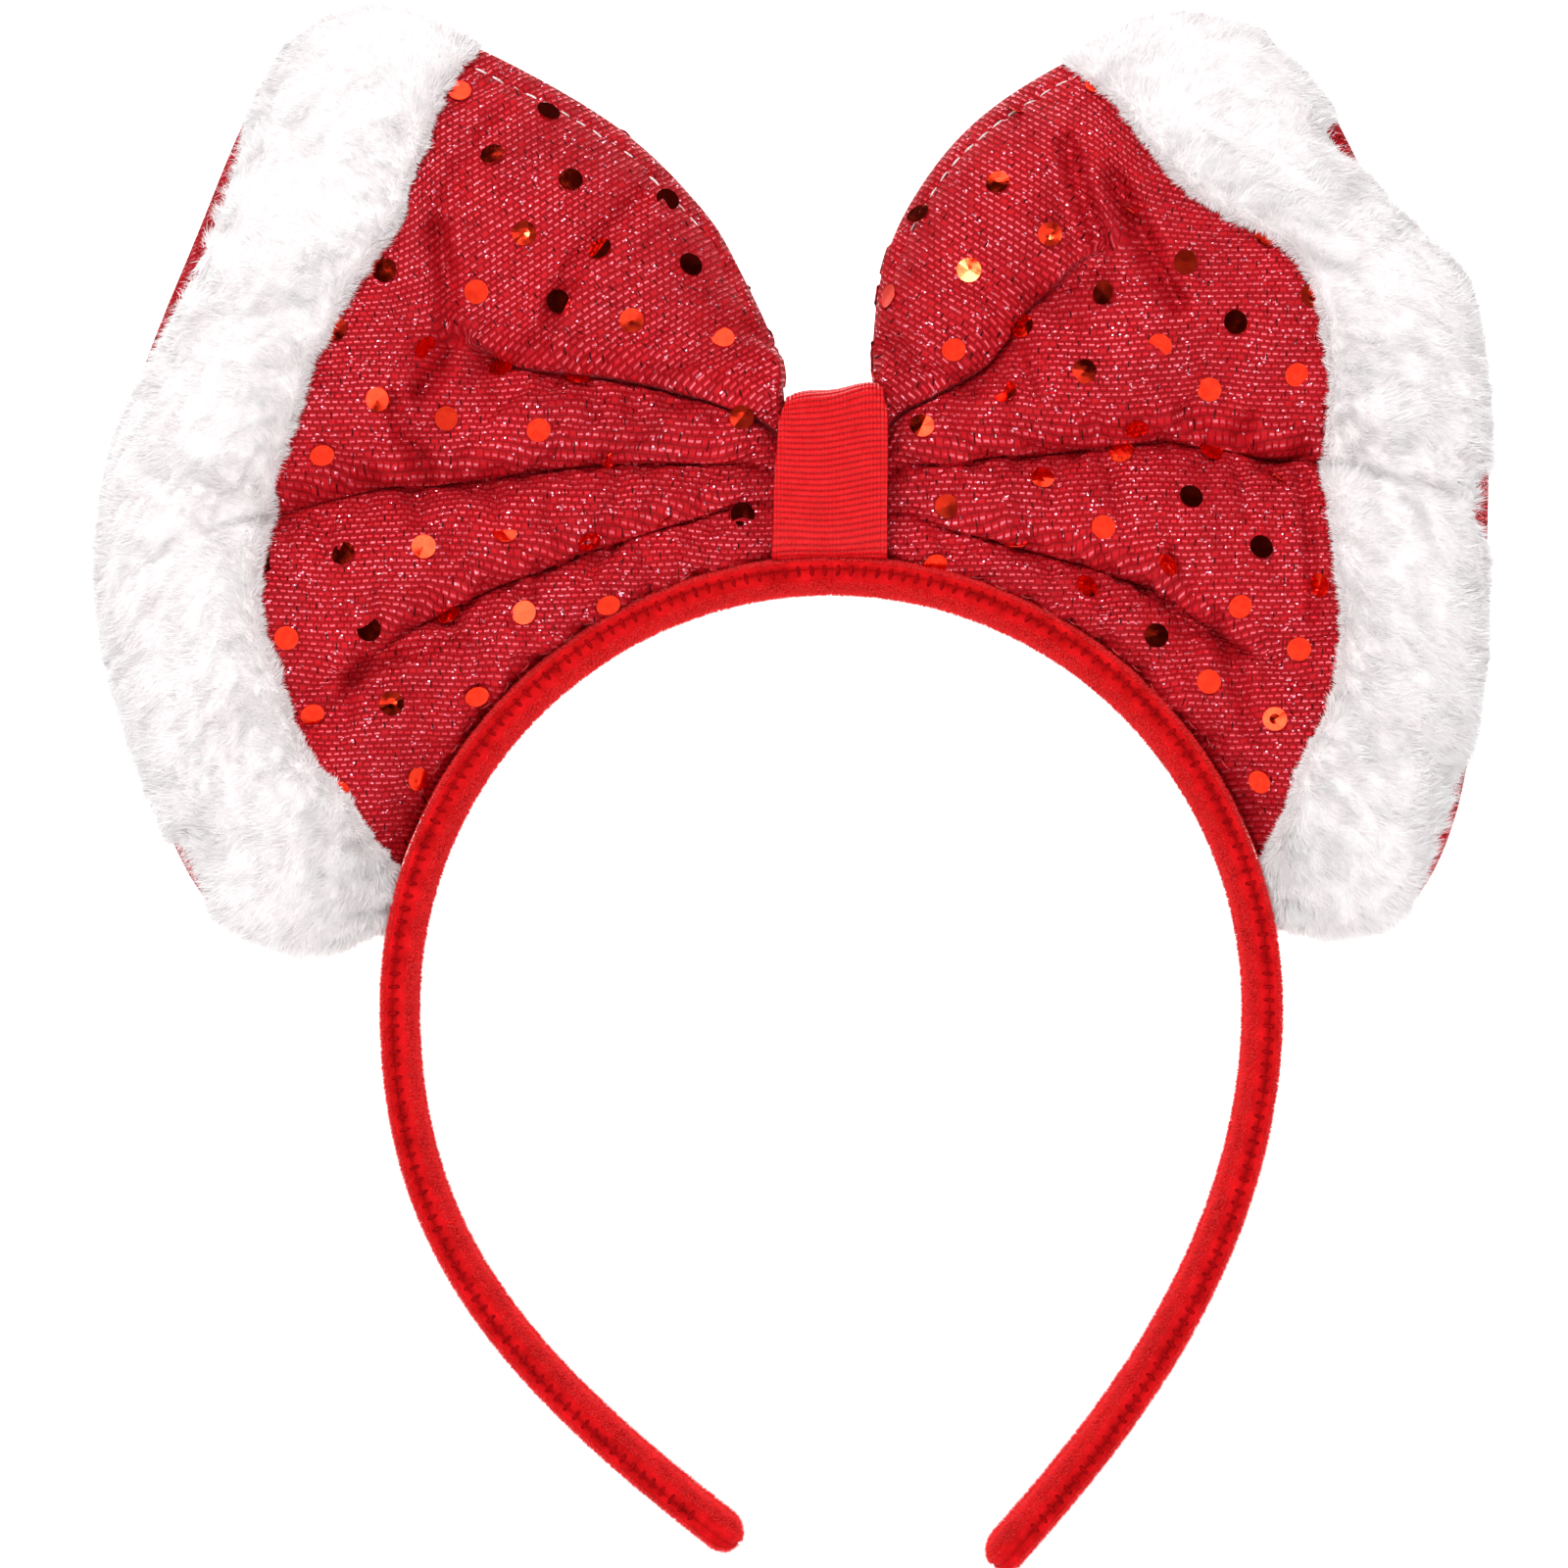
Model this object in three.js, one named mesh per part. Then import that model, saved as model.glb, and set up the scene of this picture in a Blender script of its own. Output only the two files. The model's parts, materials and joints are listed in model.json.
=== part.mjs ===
// A dress-up headband with a padded fabric bow.
//
// A sprung plastic strip in a velvet cover carries a wadded bow of spangled cloth, gathered at the
// middle by a ribbon loop and edged with plush at its two ends. The bow stands up on the crown of the
// band, and each of its lobes is stitched along the band's outer face.
//
// Millimetres. +X is the wearer's left, +Y the back of the head and +Z up. The origin is at the top of
// the head: the middle of the crown's inner face, where the lining rests on the wearer.
import * as THREE from 'three';

// ---- driving dimensions -------------------------------------------------------------------------
const CLEARANCE = 0.3; // between pieces that touch

const BAND = {
  innerRadius: 63, // of the crown, a half circle
  thickness: 5.8, // from the head outwards, over the velvet
  depth: 11, // front to back, over the velvet
  velvet: 1.6, // pile and ground of the cover or the lining
  side: 1.2, // velvet beside the core
  seam: 2.75, // height of the side seam between lining and cover
  corner: 1.3,
  flexGap: 1.5, // left at each flex line for the leg to turn
};
const CORE = { thickness: 2, tipSetback: 7 };

const LEFT_LEG = { side: -1, drop: 34, pull: 44, tip: [-12.4, -142.6], heading: [0.793, -0.606] };
const RIGHT_LEG = { side: 1, drop: 41, pull: 17, tip: [22.6, -146.4], heading: [-0.64, -0.77] };

const CLOTH = 0.9; // one layer of the bow's cloth
const SEAM_HALF_DEPTH = CLOTH + CLEARANCE / 2; // where the front and back layers meet
const WADDING_GAP = 1.1; // from the wadding to the cloth
const WADDING_RIM = 0.3; // half the wadding's depth at its thinnest
const PUFF = 9.5; // how much deeper the middle of a lobe is, each way
const THREAD_RADIUS = 0.3;
const HEM_INSET = 0.95; // the topstitching's row on a lobe, from 0 at the band to 1 at the top edge
const PLUSH = { pile: 5.5, rim: 0.8, overhang: 1.6, gap: 0.7 };
const GLUE = { width: 11, depth: 8, thickness: 0.5 };
const RIBBON = { thickness: 1.1, lowWidth: 17.4, highWidth: 12.6, top: 31.2 };
const GATHER = { thickness: 0.7, width: 2.4 };

// The knot stacks up from the band: glue, the ribbon's underside, the gathering thread, then the
// bow's waist, with the thread and the ribbon again above it.
const RIBBON_BOTTOM = BAND.thickness + GLUE.thickness + 2 * CLEARANCE;
const KNOT_WALL = RIBBON.thickness + GATHER.thickness + 2 * CLEARANCE;
const WAIST = {
  halfWidth: 9.6, low: RIBBON_BOTTOM + KNOT_WALL, high: RIBBON.top - KNOT_WALL, halfDepth: 5.6,
};

// Outlines of the two lobes as they lie from the front: the top edge runs out from the knot, and the
// end edge runs up from the band. The bottom edge is an arc along the band.
const LEFT_LOBE = {
  side: -1,
  top: [[-7, WAIST.high], [-8.3, 37.1], [-13.1, 48], [-19.7, 59], [-33.2, 71.9], [-54.2, 83.7], [-69, 88.2],
    [-83.5, 84]],
  end: [[-68.3, -51], [-82, -54.5], [-96.5, -45.5], [-106.8, -21], [-111.6, 0], [-110, 19],
    [-104.5, 36.5], [-97, 55], [-90, 72], [-83.5, 84]],
  // where the plush starts, as a share of the way from the knot, at even steps up the lobe
  plushStart: [0.89, 0.75, 0.75, 0.76, 0.74, 0.71, 0.7, 0.68, 0.7, 0.71],
};
const RIGHT_LOBE = {
  side: 1,
  top: [
    [7.3, WAIST.high], [6.4, 38], [8.3, 51.3], [14, 62.9], [22.7, 72.9], [35.6, 81.3], [50, 87], [66, 86],
  ],
  end: [[68.3, -51], [78, -51.5], [88.5, -47.5], [95.5, -34], [99, -13], [100.5, 12], [100, 28],
    [97, 47], [89, 56], [82.5, 63], [75, 76.5], [66, 86]],
  plushStart: [0.87, 0.72, 0.73, 0.73, 0.72, 0.74, 0.74, 0.68, 0.67, 0.67],
};
const LOBE_END_ANGLE = THREE.MathUtils.degToRad(80.4); // of the band that each lobe is stitched to
const GRID = { columns: 12, rows: 12 };

// ---- materials ----------------------------------------------------------------------------------
const plain = (color, roughness) => new THREE.MeshStandardMaterial({ color, roughness, metalness: 0 });
const velvet = () => plain('#cf1620', 0.95);
const ivoryPlastic = () => plain('#e6dfd0', 0.5);
const spangledCloth = () => new THREE.MeshStandardMaterial({
  color: '#b3152d', roughness: 0.5, metalness: 0.2,
});
const wadding = () => plain('#f0eeea', 1);
const plush = () => plain('#f7f5f5', 1);
const grosgrain = () => plain('#e01522', 0.7);
const whiteThread = () => plain('#e9e4e2', 0.8);
const redThread = () => plain('#b01020', 0.8);
const hotGlue = () => plain('#efe7cf', 0.3);

// ---- the band -----------------------------------------------------------------------------------
const CROWN_STEPS = 37; // an odd number, so that one flat facet lies across the top of the head

class CrownArc extends THREE.Curve {
  // the inner face from the left flex line over the head to the right one
  constructor() {
    super();
    this.reach = Math.PI / 2 - BAND.flexGap / 2 / BAND.innerRadius;
    this.radius = BAND.innerRadius / Math.cos(this.reach / CROWN_STEPS); // its facets are at the inner radius
  }
  getPoint(t, target = new THREE.Vector3()) {
    const angle = THREE.MathUtils.lerp(-this.reach, this.reach, t);
    return target.set(this.radius * Math.sin(angle), 0, this.radius * Math.cos(angle) - BAND.innerRadius);
  }
}

function legCurve(leg) {
  // the inner face from the flex line to the tip
  const x = leg.side * BAND.innerRadius;
  const top = -BAND.innerRadius - BAND.flexGap / 2;
  const [tipX, tipZ] = leg.tip;
  const [headX, headZ] = leg.heading;
  return new THREE.CubicBezierCurve3(
    new THREE.Vector3(x, 0, top),
    new THREE.Vector3(x, 0, top - leg.drop),
    new THREE.Vector3(tipX - headX * leg.pull, 0, tipZ - headZ * leg.pull),
    new THREE.Vector3(tipX, 0, tipZ),
  );
}

// Section outlines as [depth, height] pairs, with the height measured outwards from the head. Along a
// curve that runs clockwise from the front, a shape's x is minus Y and its y points at the head.
function section(points, outward) {
  return new THREE.Shape(points.map(([depth, height]) => new THREE.Vector2(depth, outward * height)));
}

function channelPoints(face, seam, floor, inside) {
  // a shallow channel with two bevelled corners on its face side
  const half = BAND.depth / 2;
  const bevel = BAND.corner * Math.sign(seam - face);
  return [[-half, seam], [-half, face + bevel], [-half + BAND.corner, face], [half - BAND.corner, face],
    [half, face + bevel], [half, seam], [inside, seam], [inside, floor], [-inside, floor], [-inside, seam]];
}

const CORE_HALF_DEPTH = BAND.depth / 2 - BAND.side - CLEARANCE;
const CORE_LOW = (BAND.thickness - CORE.thickness) / 2;
const CHANNEL_HALF = BAND.depth / 2 - BAND.side;
const LINING_SECTION = channelPoints(0, BAND.seam, BAND.velvet, CHANNEL_HALF);
const COVER_SECTION = channelPoints(
  BAND.thickness, BAND.seam + CLEARANCE, BAND.thickness - BAND.velvet, CHANNEL_HALF,
);
const CORE_SECTION = [[-CORE_HALF_DEPTH, CORE_LOW], [CORE_HALF_DEPTH, CORE_LOW],
  [CORE_HALF_DEPTH, CORE_LOW + CORE.thickness], [-CORE_HALF_DEPTH, CORE_LOW + CORE.thickness]];

function sweep(points, curve, steps, outward) {
  const shape = section(points, outward);
  return new THREE.ExtrudeGeometry(shape, { extrudePath: curve, steps, bevelEnabled: false });
}

function roundTip(geometry, leg) {
  // draws the last ring of a leg's velvet in, towards the middle of the band's thickness
  const heading = new THREE.Vector3(leg.heading[0], 0, leg.heading[1]).normalize();
  const outward = new THREE.Vector3(leg.side * Math.abs(heading.z), 0, -Math.abs(heading.x));
  const middle = new THREE.Vector3(leg.tip[0], 0, leg.tip[1]).addScaledVector(outward, BAND.thickness / 2);
  const position = geometry.attributes.position;
  const point = new THREE.Vector3();
  for (let i = 0; i < position.count; i++) {
    point.fromBufferAttribute(position, i);
    if (point.clone().sub(middle).dot(heading) < -0.5) continue;
    point.lerp(middle, 0.4);
    position.setXYZ(i, point.x, point.y, point.z);
  }
  return geometry;
}

// ---- the bow ------------------------------------------------------------------------------------
function waistDepth(v) {
  // half the gathered waist's depth, from its low side (0) to its high side (1), with round shoulders
  const shoulder = 2;
  return shoulder + (WAIST.halfDepth - shoulder) * (1 - (2 * v - 1) ** 6);
}

const flat = ([x, z]) => new THREE.Vector2(x, z);

class Lobe {
  // A lobe seen from the front is a patch between four edges. s runs from the knot (0) to the lobe's
  // end (1), and v from the band (0) to the top edge (1).
  constructor({ side, top, end, plushStart }) {
    this.side = side;
    this.top = new THREE.SplineCurve(top.map(flat));
    this.end = new THREE.SplineCurve(end.map(flat));
    this.plushStart = plushStart;
    this.seatRadius = BAND.innerRadius + BAND.thickness + 0.5;
    this.startAngle = Math.asin(WAIST.halfWidth / this.seatRadius);
    this.knotLift = WAIST.low - (this.seatRadius * Math.cos(this.startAngle) - BAND.innerRadius);
  }

  bottom(s) {
    const angle = THREE.MathUtils.lerp(this.startAngle, LOBE_END_ANGLE, s);
    const lift = this.knotLift * (1 - THREE.MathUtils.smoothstep(s, 0, 0.12));
    return new THREE.Vector2(
      this.side * this.seatRadius * Math.sin(angle),
      this.seatRadius * Math.cos(angle) - BAND.innerRadius + lift,
    );
  }

  at(s, v) {
    const inS = THREE.MathUtils.clamp(s, 0, 1);
    const inV = THREE.MathUtils.clamp(v, 0, 1);
    const bottom = this.bottom(inS);
    const top = this.top.getPointAt(inS);
    const end = this.end.getPointAt(inV);
    const knot = this.bottom(0).lerp(this.top.getPoint(0), inV);
    const corners = this.bottom(0).multiplyScalar((1 - inS) * (1 - inV))
      .addScaledVector(this.top.getPoint(0), (1 - inS) * inV)
      .addScaledVector(this.bottom(1), inS * (1 - inV))
      .addScaledVector(this.top.getPoint(1), inS * inV);
    return bottom.multiplyScalar(1 - inV).addScaledVector(top, inV)
      .addScaledVector(knot, 1 - inS).addScaledVector(end, inS).sub(corners);
  }

  halfDepth(s, v) {
    // the waist's depth at the knot, swelling to the puffed middle and closing at the seams
    const across = (1 - (2 * v - 1) ** 4) ** 0.7;
    const closing = (1 - s ** 8) ** 0.7;
    const along = closing * (0.55 + 0.45 * Math.sin(Math.PI * s ** 0.8));
    const swell = SEAM_HALF_DEPTH + PUFF * along * across;
    return THREE.MathUtils.lerp(waistDepth(v), swell, THREE.MathUtils.smoothstep(s, 0, 0.25));
  }

  plushEdge(v) {
    const spans = this.plushStart.length - 1;
    const low = Math.min(spans - 1, Math.floor(v * spans));
    return THREE.MathUtils.lerp(this.plushStart[low], this.plushStart[low + 1], v * spans - low);
  }
}

const leftLobe = new Lobe(LEFT_LOBE);
const rightLobe = new Lobe(RIGHT_LOBE);

// A box of columns, layers and rows, whose vertices place() moves. u, t and v run from 0 to 1 along X,
// Y and Z.
function warpedBox(columns, layers, rows, place) {
  const box = new THREE.BoxGeometry(1, 1, 1, columns, layers, rows);
  const position = box.attributes.position;
  for (let i = 0; i < position.count; i++) {
    const point = place(position.getX(i) + 0.5, position.getY(i) + 0.5, position.getZ(i) + 0.5);
    position.setXYZ(i, point.x, point.y, point.z);
  }
  return box;
}

const WAIST_SHARE = 1 / (2 * GRID.columns + 2); // of the bow's columns, half of those in the knot

function bowPoint(u, v) {
  // across the whole bow, from the left lobe's end (u = 0) to the right lobe's (u = 1)
  const fromMiddle = 2 * u - 1;
  const s = (Math.abs(fromMiddle) - 2 * WAIST_SHARE) / (1 - 2 * WAIST_SHARE);
  if (s >= -1e-6) {
    const lobe = fromMiddle < 0 ? leftLobe : rightLobe;
    const share = Math.max(0, s);
    const place = lobe.at(share, v);
    return { x: place.x, z: place.y, halfDepth: lobe.halfDepth(share, v) };
  }
  return { x: 0, z: THREE.MathUtils.lerp(WAIST.low, WAIST.high, v), halfDepth: waistDepth(v) };
}

function panel(facing) {
  // one layer of cloth over the whole bow, on the front (facing -1) or the back (+1). The two meet at
  // the seams.
  const columns = 2 * GRID.columns + 2;
  return warpedBox(columns, 1, GRID.rows, (u, t, v) => {
    const { x, z, halfDepth } = bowPoint(u, v);
    const outside = facing < 0 ? 1 - t : t;
    const depth = halfDepth - CLOTH * (1 - outside);
    return new THREE.Vector3(x, facing * depth, z);
  });
}

function facetPoint(lobe, column, row) {
  // a point on the cloth's flat facets, from fractional counts of columns and rows
  const left = Math.min(GRID.columns - 1, Math.floor(column));
  const low = Math.min(GRID.rows - 1, Math.floor(row));
  const point = new THREE.Vector3();
  for (const [i, shareS] of [[left, left + 1 - column], [left + 1, column - left]]) {
    for (const [j, shareV] of [[low, low + 1 - row], [low + 1, row - low]]) {
      const [s, v] = [i / GRID.columns, j / GRID.rows];
      const place = lobe.at(s, v);
      point.addScaledVector(new THREE.Vector3(place.x, lobe.halfDepth(s, v), place.y), shareS * shareV);
    }
  }
  return point;
}

function padding(lobe) {
  // the wadding inside one lobe, clear of the cloth on both sides and of the seams
  const inset = 0.6; // of a facet
  return warpedBox(GRID.columns, 1, GRID.rows, (u, t, v) => {
    const share = lobe.side < 0 ? 1 - u : u;
    const column = THREE.MathUtils.clamp(share * GRID.columns, 2 * inset, GRID.columns - inset);
    const row = THREE.MathUtils.clamp(v * GRID.rows, inset, GRID.rows - inset);
    const point = facetPoint(lobe, column, row);
    point.y = (2 * t - 1) * Math.max(WADDING_RIM, point.y - CLOTH - WADDING_GAP);
    return point;
  });
}

function plushStrip(lobe) {
  // the pile strip on the front of a lobe's end, standing proud of the seam all round
  const columns = 5;
  return warpedBox(columns, 1, GRID.rows, (u, t, v) => {
    const across = lobe.side < 0 ? 1 - u : u;
    const edge = lobe.plushEdge(v);
    const s = THREE.MathUtils.lerp(edge, 1, across);
    const place = lobe.at(s, v);
    const inner = lobe.at(Math.max(0, s - 0.05), v);
    const outward = place.clone().sub(inner).normalize();
    place.addScaledVector(outward, PLUSH.overhang * THREE.MathUtils.smoothstep(across, 0.7, 1));
    const atTop = THREE.MathUtils.smoothstep(v, 0.94, 1);
    const atBottom = THREE.MathUtils.smoothstep(1 - v, 0.94, 1) * across;
    place.y += PLUSH.overhang * (atTop - atBottom);
    const round = Math.sqrt((1 - (2 * across - 1) ** 4) * (1 - 0.8 * (2 * v - 1) ** 16));
    const base = -lobe.halfDepth(s, v) - PLUSH.gap;
    const height = THREE.MathUtils.lerp(PLUSH.rim, PLUSH.pile, round);
    return new THREE.Vector3(place.x, base - (1 - t) * height, place.y);
  });
}

function threadAlong(points) {
  const route = new THREE.CatmullRomCurve3(points);
  const round = new THREE.Shape(
    Array.from({ length: 6 }, (_, i) => {
      const angle = (i / 6) * 2 * Math.PI;
      return new THREE.Vector2(THREAD_RADIUS * Math.cos(angle), THREAD_RADIUS * Math.sin(angle));
    }),
  );
  const steps = 2 * points.length;
  return new THREE.ExtrudeGeometry(round, { extrudePath: route, steps, bevelEnabled: false });
}

function seamThread(lobe, stations, place) {
  // a thread lying on the front cloth, through stations of [s, v]
  const lift = THREAD_RADIUS + 0.45;
  const points = stations.map(([s, v]) => {
    const at = lobe.at(s, v);
    return new THREE.Vector3(at.x, -lobe.halfDepth(s, v) - lift, at.y);
  });
  return threadAlong(points);
}

const evenly = (count, from, to) =>
  Array.from({ length: count }, (_, i) => THREE.MathUtils.lerp(from, to, i / (count - 1)));

const topStitching = (lobe) =>
  seamThread(lobe, evenly(9, 0.12, lobe.plushEdge(HEM_INSET) - 0.03).map((s) => [s, HEM_INSET]));
const bandStitching = (lobe) => seamThread(lobe, evenly(9, 0.16, 0.7).map((s) => [s, 0.035]));
const plushStitching = (lobe) => {
  const places = evenly(10, 0.1, 0.9).map((v) => [lobe.plushEdge(v) - 0.02, v]);
  return seamThread(lobe, places);
};

// A loop round the bow's waist: a flat ring in the Y-Z plane, cut from a rounded rectangle and given a
// width along X.
function waistLoop(inner, thickness, width) {
  const outline = (grow, path) => {
    const y = inner.halfDepth + grow;
    const low = inner.low - grow;
    const high = inner.high + grow;
    const r = 2.2 + grow;
    path.moveTo(y, low + r).lineTo(y, high - r).quadraticCurveTo(y, high, y - r, high);
    path.lineTo(-y + r, high).quadraticCurveTo(-y, high, -y, high - r);
    path.lineTo(-y, low + r).quadraticCurveTo(-y, low, -y + r, low);
    path.lineTo(y - r, low).quadraticCurveTo(y, low, y, low + r);
    return path;
  };
  const ring = outline(thickness, new THREE.Shape());
  ring.holes.push(outline(0, new THREE.Path()));
  const loop = new THREE.ExtrudeGeometry(ring, {
    depth: width, steps: 1, curveSegments: 4, bevelEnabled: false,
  });
  // the shape's x becomes Y and its y becomes Z
  loop.translate(0, 0, -width / 2);
  return loop.applyMatrix4(new THREE.Matrix4().makeBasis(
    new THREE.Vector3(0, 1, 0), new THREE.Vector3(0, 0, 1), new THREE.Vector3(1, 0, 0),
  ));
}

function taperKnot(loop) {
  // the ribbon is pulled narrower at the top of the knot
  const position = loop.attributes.position;
  for (let i = 0; i < position.count; i++) {
    const rise = THREE.MathUtils.inverseLerp(RIBBON_BOTTOM, RIBBON.top, position.getZ(i));
    const width = THREE.MathUtils.lerp(RIBBON.lowWidth, RIBBON.highWidth, rise);
    position.setX(i, (position.getX(i) * width) / RIBBON.lowWidth);
  }
  return loop;
}

// ---- assembly -----------------------------------------------------------------------------------
const headband = new THREE.Group();

function add(parent, name, geometry, material) {
  const mesh = new THREE.Mesh(geometry, material);
  mesh.name = name;
  parent.add(mesh);
  return mesh;
}

const band = new THREE.Group();
const crown = new CrownArc();
add(band, 'crown_core', sweep(CORE_SECTION, crown, CROWN_STEPS, -1), ivoryPlastic());
add(band, 'crown_lining', sweep(LINING_SECTION, crown, CROWN_STEPS, -1), velvet());
add(band, 'crown_cover', sweep(COVER_SECTION, crown, CROWN_STEPS, -1), velvet());

const LEG_STEPS = 20;
for (const [name, leg] of [['left_leg', LEFT_LEG], ['right_leg', RIGHT_LEG]]) {
  const curve = legCurve(leg);
  const length = curve.getLength();
  const coreEnd = 1 - CORE.tipSetback / length;
  const corePath = new THREE.CatmullRomCurve3(evenly(LEG_STEPS, 0, coreEnd).map((t) => curve.getPointAt(t)));
  const outward = leg.side > 0 ? -1 : 1;
  add(band, `${name}_core`, sweep(CORE_SECTION, corePath, LEG_STEPS, outward), ivoryPlastic());
  add(band, `${name}_lining`, roundTip(sweep(LINING_SECTION, curve, LEG_STEPS, outward), leg), velvet());
  add(band, `${name}_cover`, roundTip(sweep(COVER_SECTION, curve, LEG_STEPS, outward), leg), velvet());
}
headband.add(band);

const bow = new THREE.Group();
add(bow, 'bow_front_panel', panel(-1), spangledCloth());
add(bow, 'bow_back_panel', panel(1), spangledCloth());
for (const [name, lobe] of [['left', leftLobe], ['right', rightLobe]]) {
  add(bow, `${name}_wadding`, padding(lobe), wadding());
  add(bow, `${name}_fur_trim`, plushStrip(lobe), plush());
  add(bow, `${name}_top_stitching`, topStitching(lobe), whiteThread());
  add(bow, `${name}_band_stitching`, bandStitching(lobe), redThread());
  add(bow, `${name}_fur_stitching`, plushStitching(lobe), whiteThread());
}

const grown = ({ low, high, halfDepth }, by) => ({
  low: low - by, high: high + by, halfDepth: halfDepth + by,
});
const waistOutside = grown(WAIST, CLEARANCE);
const threadOutside = grown(waistOutside, GATHER.thickness + CLEARANCE);
add(bow, 'gather_thread', waistLoop(waistOutside, GATHER.thickness, GATHER.width), redThread());
add(bow, 'knot_ribbon', taperKnot(waistLoop(threadOutside, RIBBON.thickness, RIBBON.lowWidth)), grosgrain());

const glue = add(bow, 'glue_pad', new THREE.BoxGeometry(GLUE.width, GLUE.depth, GLUE.thickness), hotGlue());
glue.position.z = BAND.thickness + CLEARANCE + GLUE.thickness / 2;
headband.add(bow);

export default headband;
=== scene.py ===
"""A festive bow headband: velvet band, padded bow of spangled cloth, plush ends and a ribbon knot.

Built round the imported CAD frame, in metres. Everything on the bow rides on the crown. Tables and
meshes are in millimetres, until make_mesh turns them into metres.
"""
import json
import math

import bpy
import numpy as np
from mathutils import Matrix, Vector


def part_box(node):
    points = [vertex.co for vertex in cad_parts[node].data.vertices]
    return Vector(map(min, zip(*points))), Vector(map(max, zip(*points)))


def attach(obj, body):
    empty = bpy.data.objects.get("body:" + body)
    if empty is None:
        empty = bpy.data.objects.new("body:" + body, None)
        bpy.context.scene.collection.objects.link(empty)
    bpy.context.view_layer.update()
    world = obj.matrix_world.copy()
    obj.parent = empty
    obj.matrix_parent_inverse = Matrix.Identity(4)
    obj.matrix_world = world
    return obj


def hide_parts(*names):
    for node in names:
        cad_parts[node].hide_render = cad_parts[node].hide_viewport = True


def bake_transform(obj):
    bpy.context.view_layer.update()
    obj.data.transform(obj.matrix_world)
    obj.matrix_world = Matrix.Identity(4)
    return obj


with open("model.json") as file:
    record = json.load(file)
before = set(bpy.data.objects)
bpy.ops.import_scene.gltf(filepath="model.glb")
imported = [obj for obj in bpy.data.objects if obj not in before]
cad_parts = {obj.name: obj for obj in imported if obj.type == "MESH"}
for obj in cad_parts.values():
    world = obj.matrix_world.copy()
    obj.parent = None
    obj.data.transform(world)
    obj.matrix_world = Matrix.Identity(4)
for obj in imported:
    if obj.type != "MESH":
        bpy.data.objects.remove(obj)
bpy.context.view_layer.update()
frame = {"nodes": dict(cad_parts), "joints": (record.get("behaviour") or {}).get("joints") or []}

MM = 0.001
SEED = 20
RIB_PITCH = 0.9  # of the grosgrain ribbon
WARP_PITCH = 0.57  # of its threads, across the ribs
SQUARENESS = 0.42  # of the knot and the band in section: 1 would be round, and 0 square


# ---- the frame's sizes ---------------------------------------------------------------------------
def box_mm(node):
    low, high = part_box(node)
    return np.array(low) / MM, np.array(high) / MM


cover_high = box_mm("crown_cover")[1]
ribbon_high = box_mm("knot_ribbon")[1]
gather_low, gather_high = box_mm("gather_thread")
BAND_OUT = cover_high[2]  # thickness of the band over its velvet
BAND_HALF_DEPTH = cover_high[1]
OUTER_RADIUS = cover_high[0]
INNER_RADIUS = OUTER_RADIUS - BAND_OUT
WAIST_HALF_DEPTH = 5.6
WAIST_SHOULDER = 2.0  # half its depth at its two edges
THREAD_WALL = 1.0  # from the waist to the outside of the thread round it
WAIST_LOW = gather_low[2] + THREAD_WALL
WAIST_HIGH = gather_high[2] - THREAD_WALL
JOINTS = {j["name"]: np.array(j["pos_m"]) / MM for j in frame["joints"]}


# ---- curves --------------------------------------------------------------------------------------
def catmull(points, count=60):
    """A uniform Catmull-Rom curve through points, as a dense polyline."""
    p = np.asarray(points, float)
    p = np.vstack([p[:1], p, p[-1:]])
    out = []
    t = np.linspace(0, 1, count, endpoint=False)[:, None]
    for a, b, c, d in zip(p[:-3], p[1:-2], p[2:-1], p[3:]):
        v0, v1 = (c - a) / 2, (d - b) / 2
        out.append((2 * b - 2 * c + v0 + v1) * t**3 + (-3 * b + 3 * c - 2 * v0 - v1) * t**2 + v0 * t + b)
    out.append(p[-1:])
    return np.vstack(out)


class Path:
    """A polyline looked up by its share of length, or by length."""

    def __init__(self, points):
        self.points = np.asarray(points, float)
        steps = np.linalg.norm(np.diff(self.points, axis=0), axis=1)
        self.run = np.concatenate([[0], np.cumsum(steps)])
        self.length = self.run[-1]

    def at(self, share):
        run = np.asarray(share) * self.length
        return np.stack([np.interp(run, self.run, c) for c in self.points.T], axis=-1)

    def along(self, share):
        step = 1e-3
        d = self.at(np.clip(share + step, 0, 1)) - self.at(np.clip(share - step, 0, 1))
        return d / np.linalg.norm(d, axis=-1, keepdims=True)


def smooth(x, low=0.0, high=1.0):
    t = np.clip((x - low) / (high - low), 0, 1)
    return t * t * (3 - 2 * t)


def lerp(a, b, t):
    return a + (b - a) * t


def bell(x, width):
    """1 at x = 0, falling smoothly to nothing a few widths away."""
    return np.exp(-((x / width) ** 2))


def squared_off(angle):
    """A circle's cosine and sine, drawn out into a rounded square."""
    cos, sin = np.cos(angle), np.sin(angle)
    return np.sign(cos) * np.abs(cos) ** SQUARENESS, np.sign(sin) * np.abs(sin) ** SQUARENESS


def unit(v):
    return v / np.maximum(np.linalg.norm(v, axis=-1, keepdims=True), 1e-12)


class Noise:
    """Smooth value noise in two dimensions, from a seeded table."""

    def __init__(self, seed, size=64):
        self.size = size
        self.table = np.random.default_rng(seed).uniform(-1, 1, (size, size))

    def look(self, i, j):
        return self.table[i % self.size, j % self.size]

    def __call__(self, x, y):
        x0, y0 = np.floor(x).astype(int), np.floor(y).astype(int)
        fx, fy = smooth(x - x0), smooth(y - y0)
        low = lerp(self.look(x0, y0), self.look(x0 + 1, y0), fx)
        high = lerp(self.look(x0, y0 + 1), self.look(x0 + 1, y0 + 1), fx)
        return lerp(low, high, fy)


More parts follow.
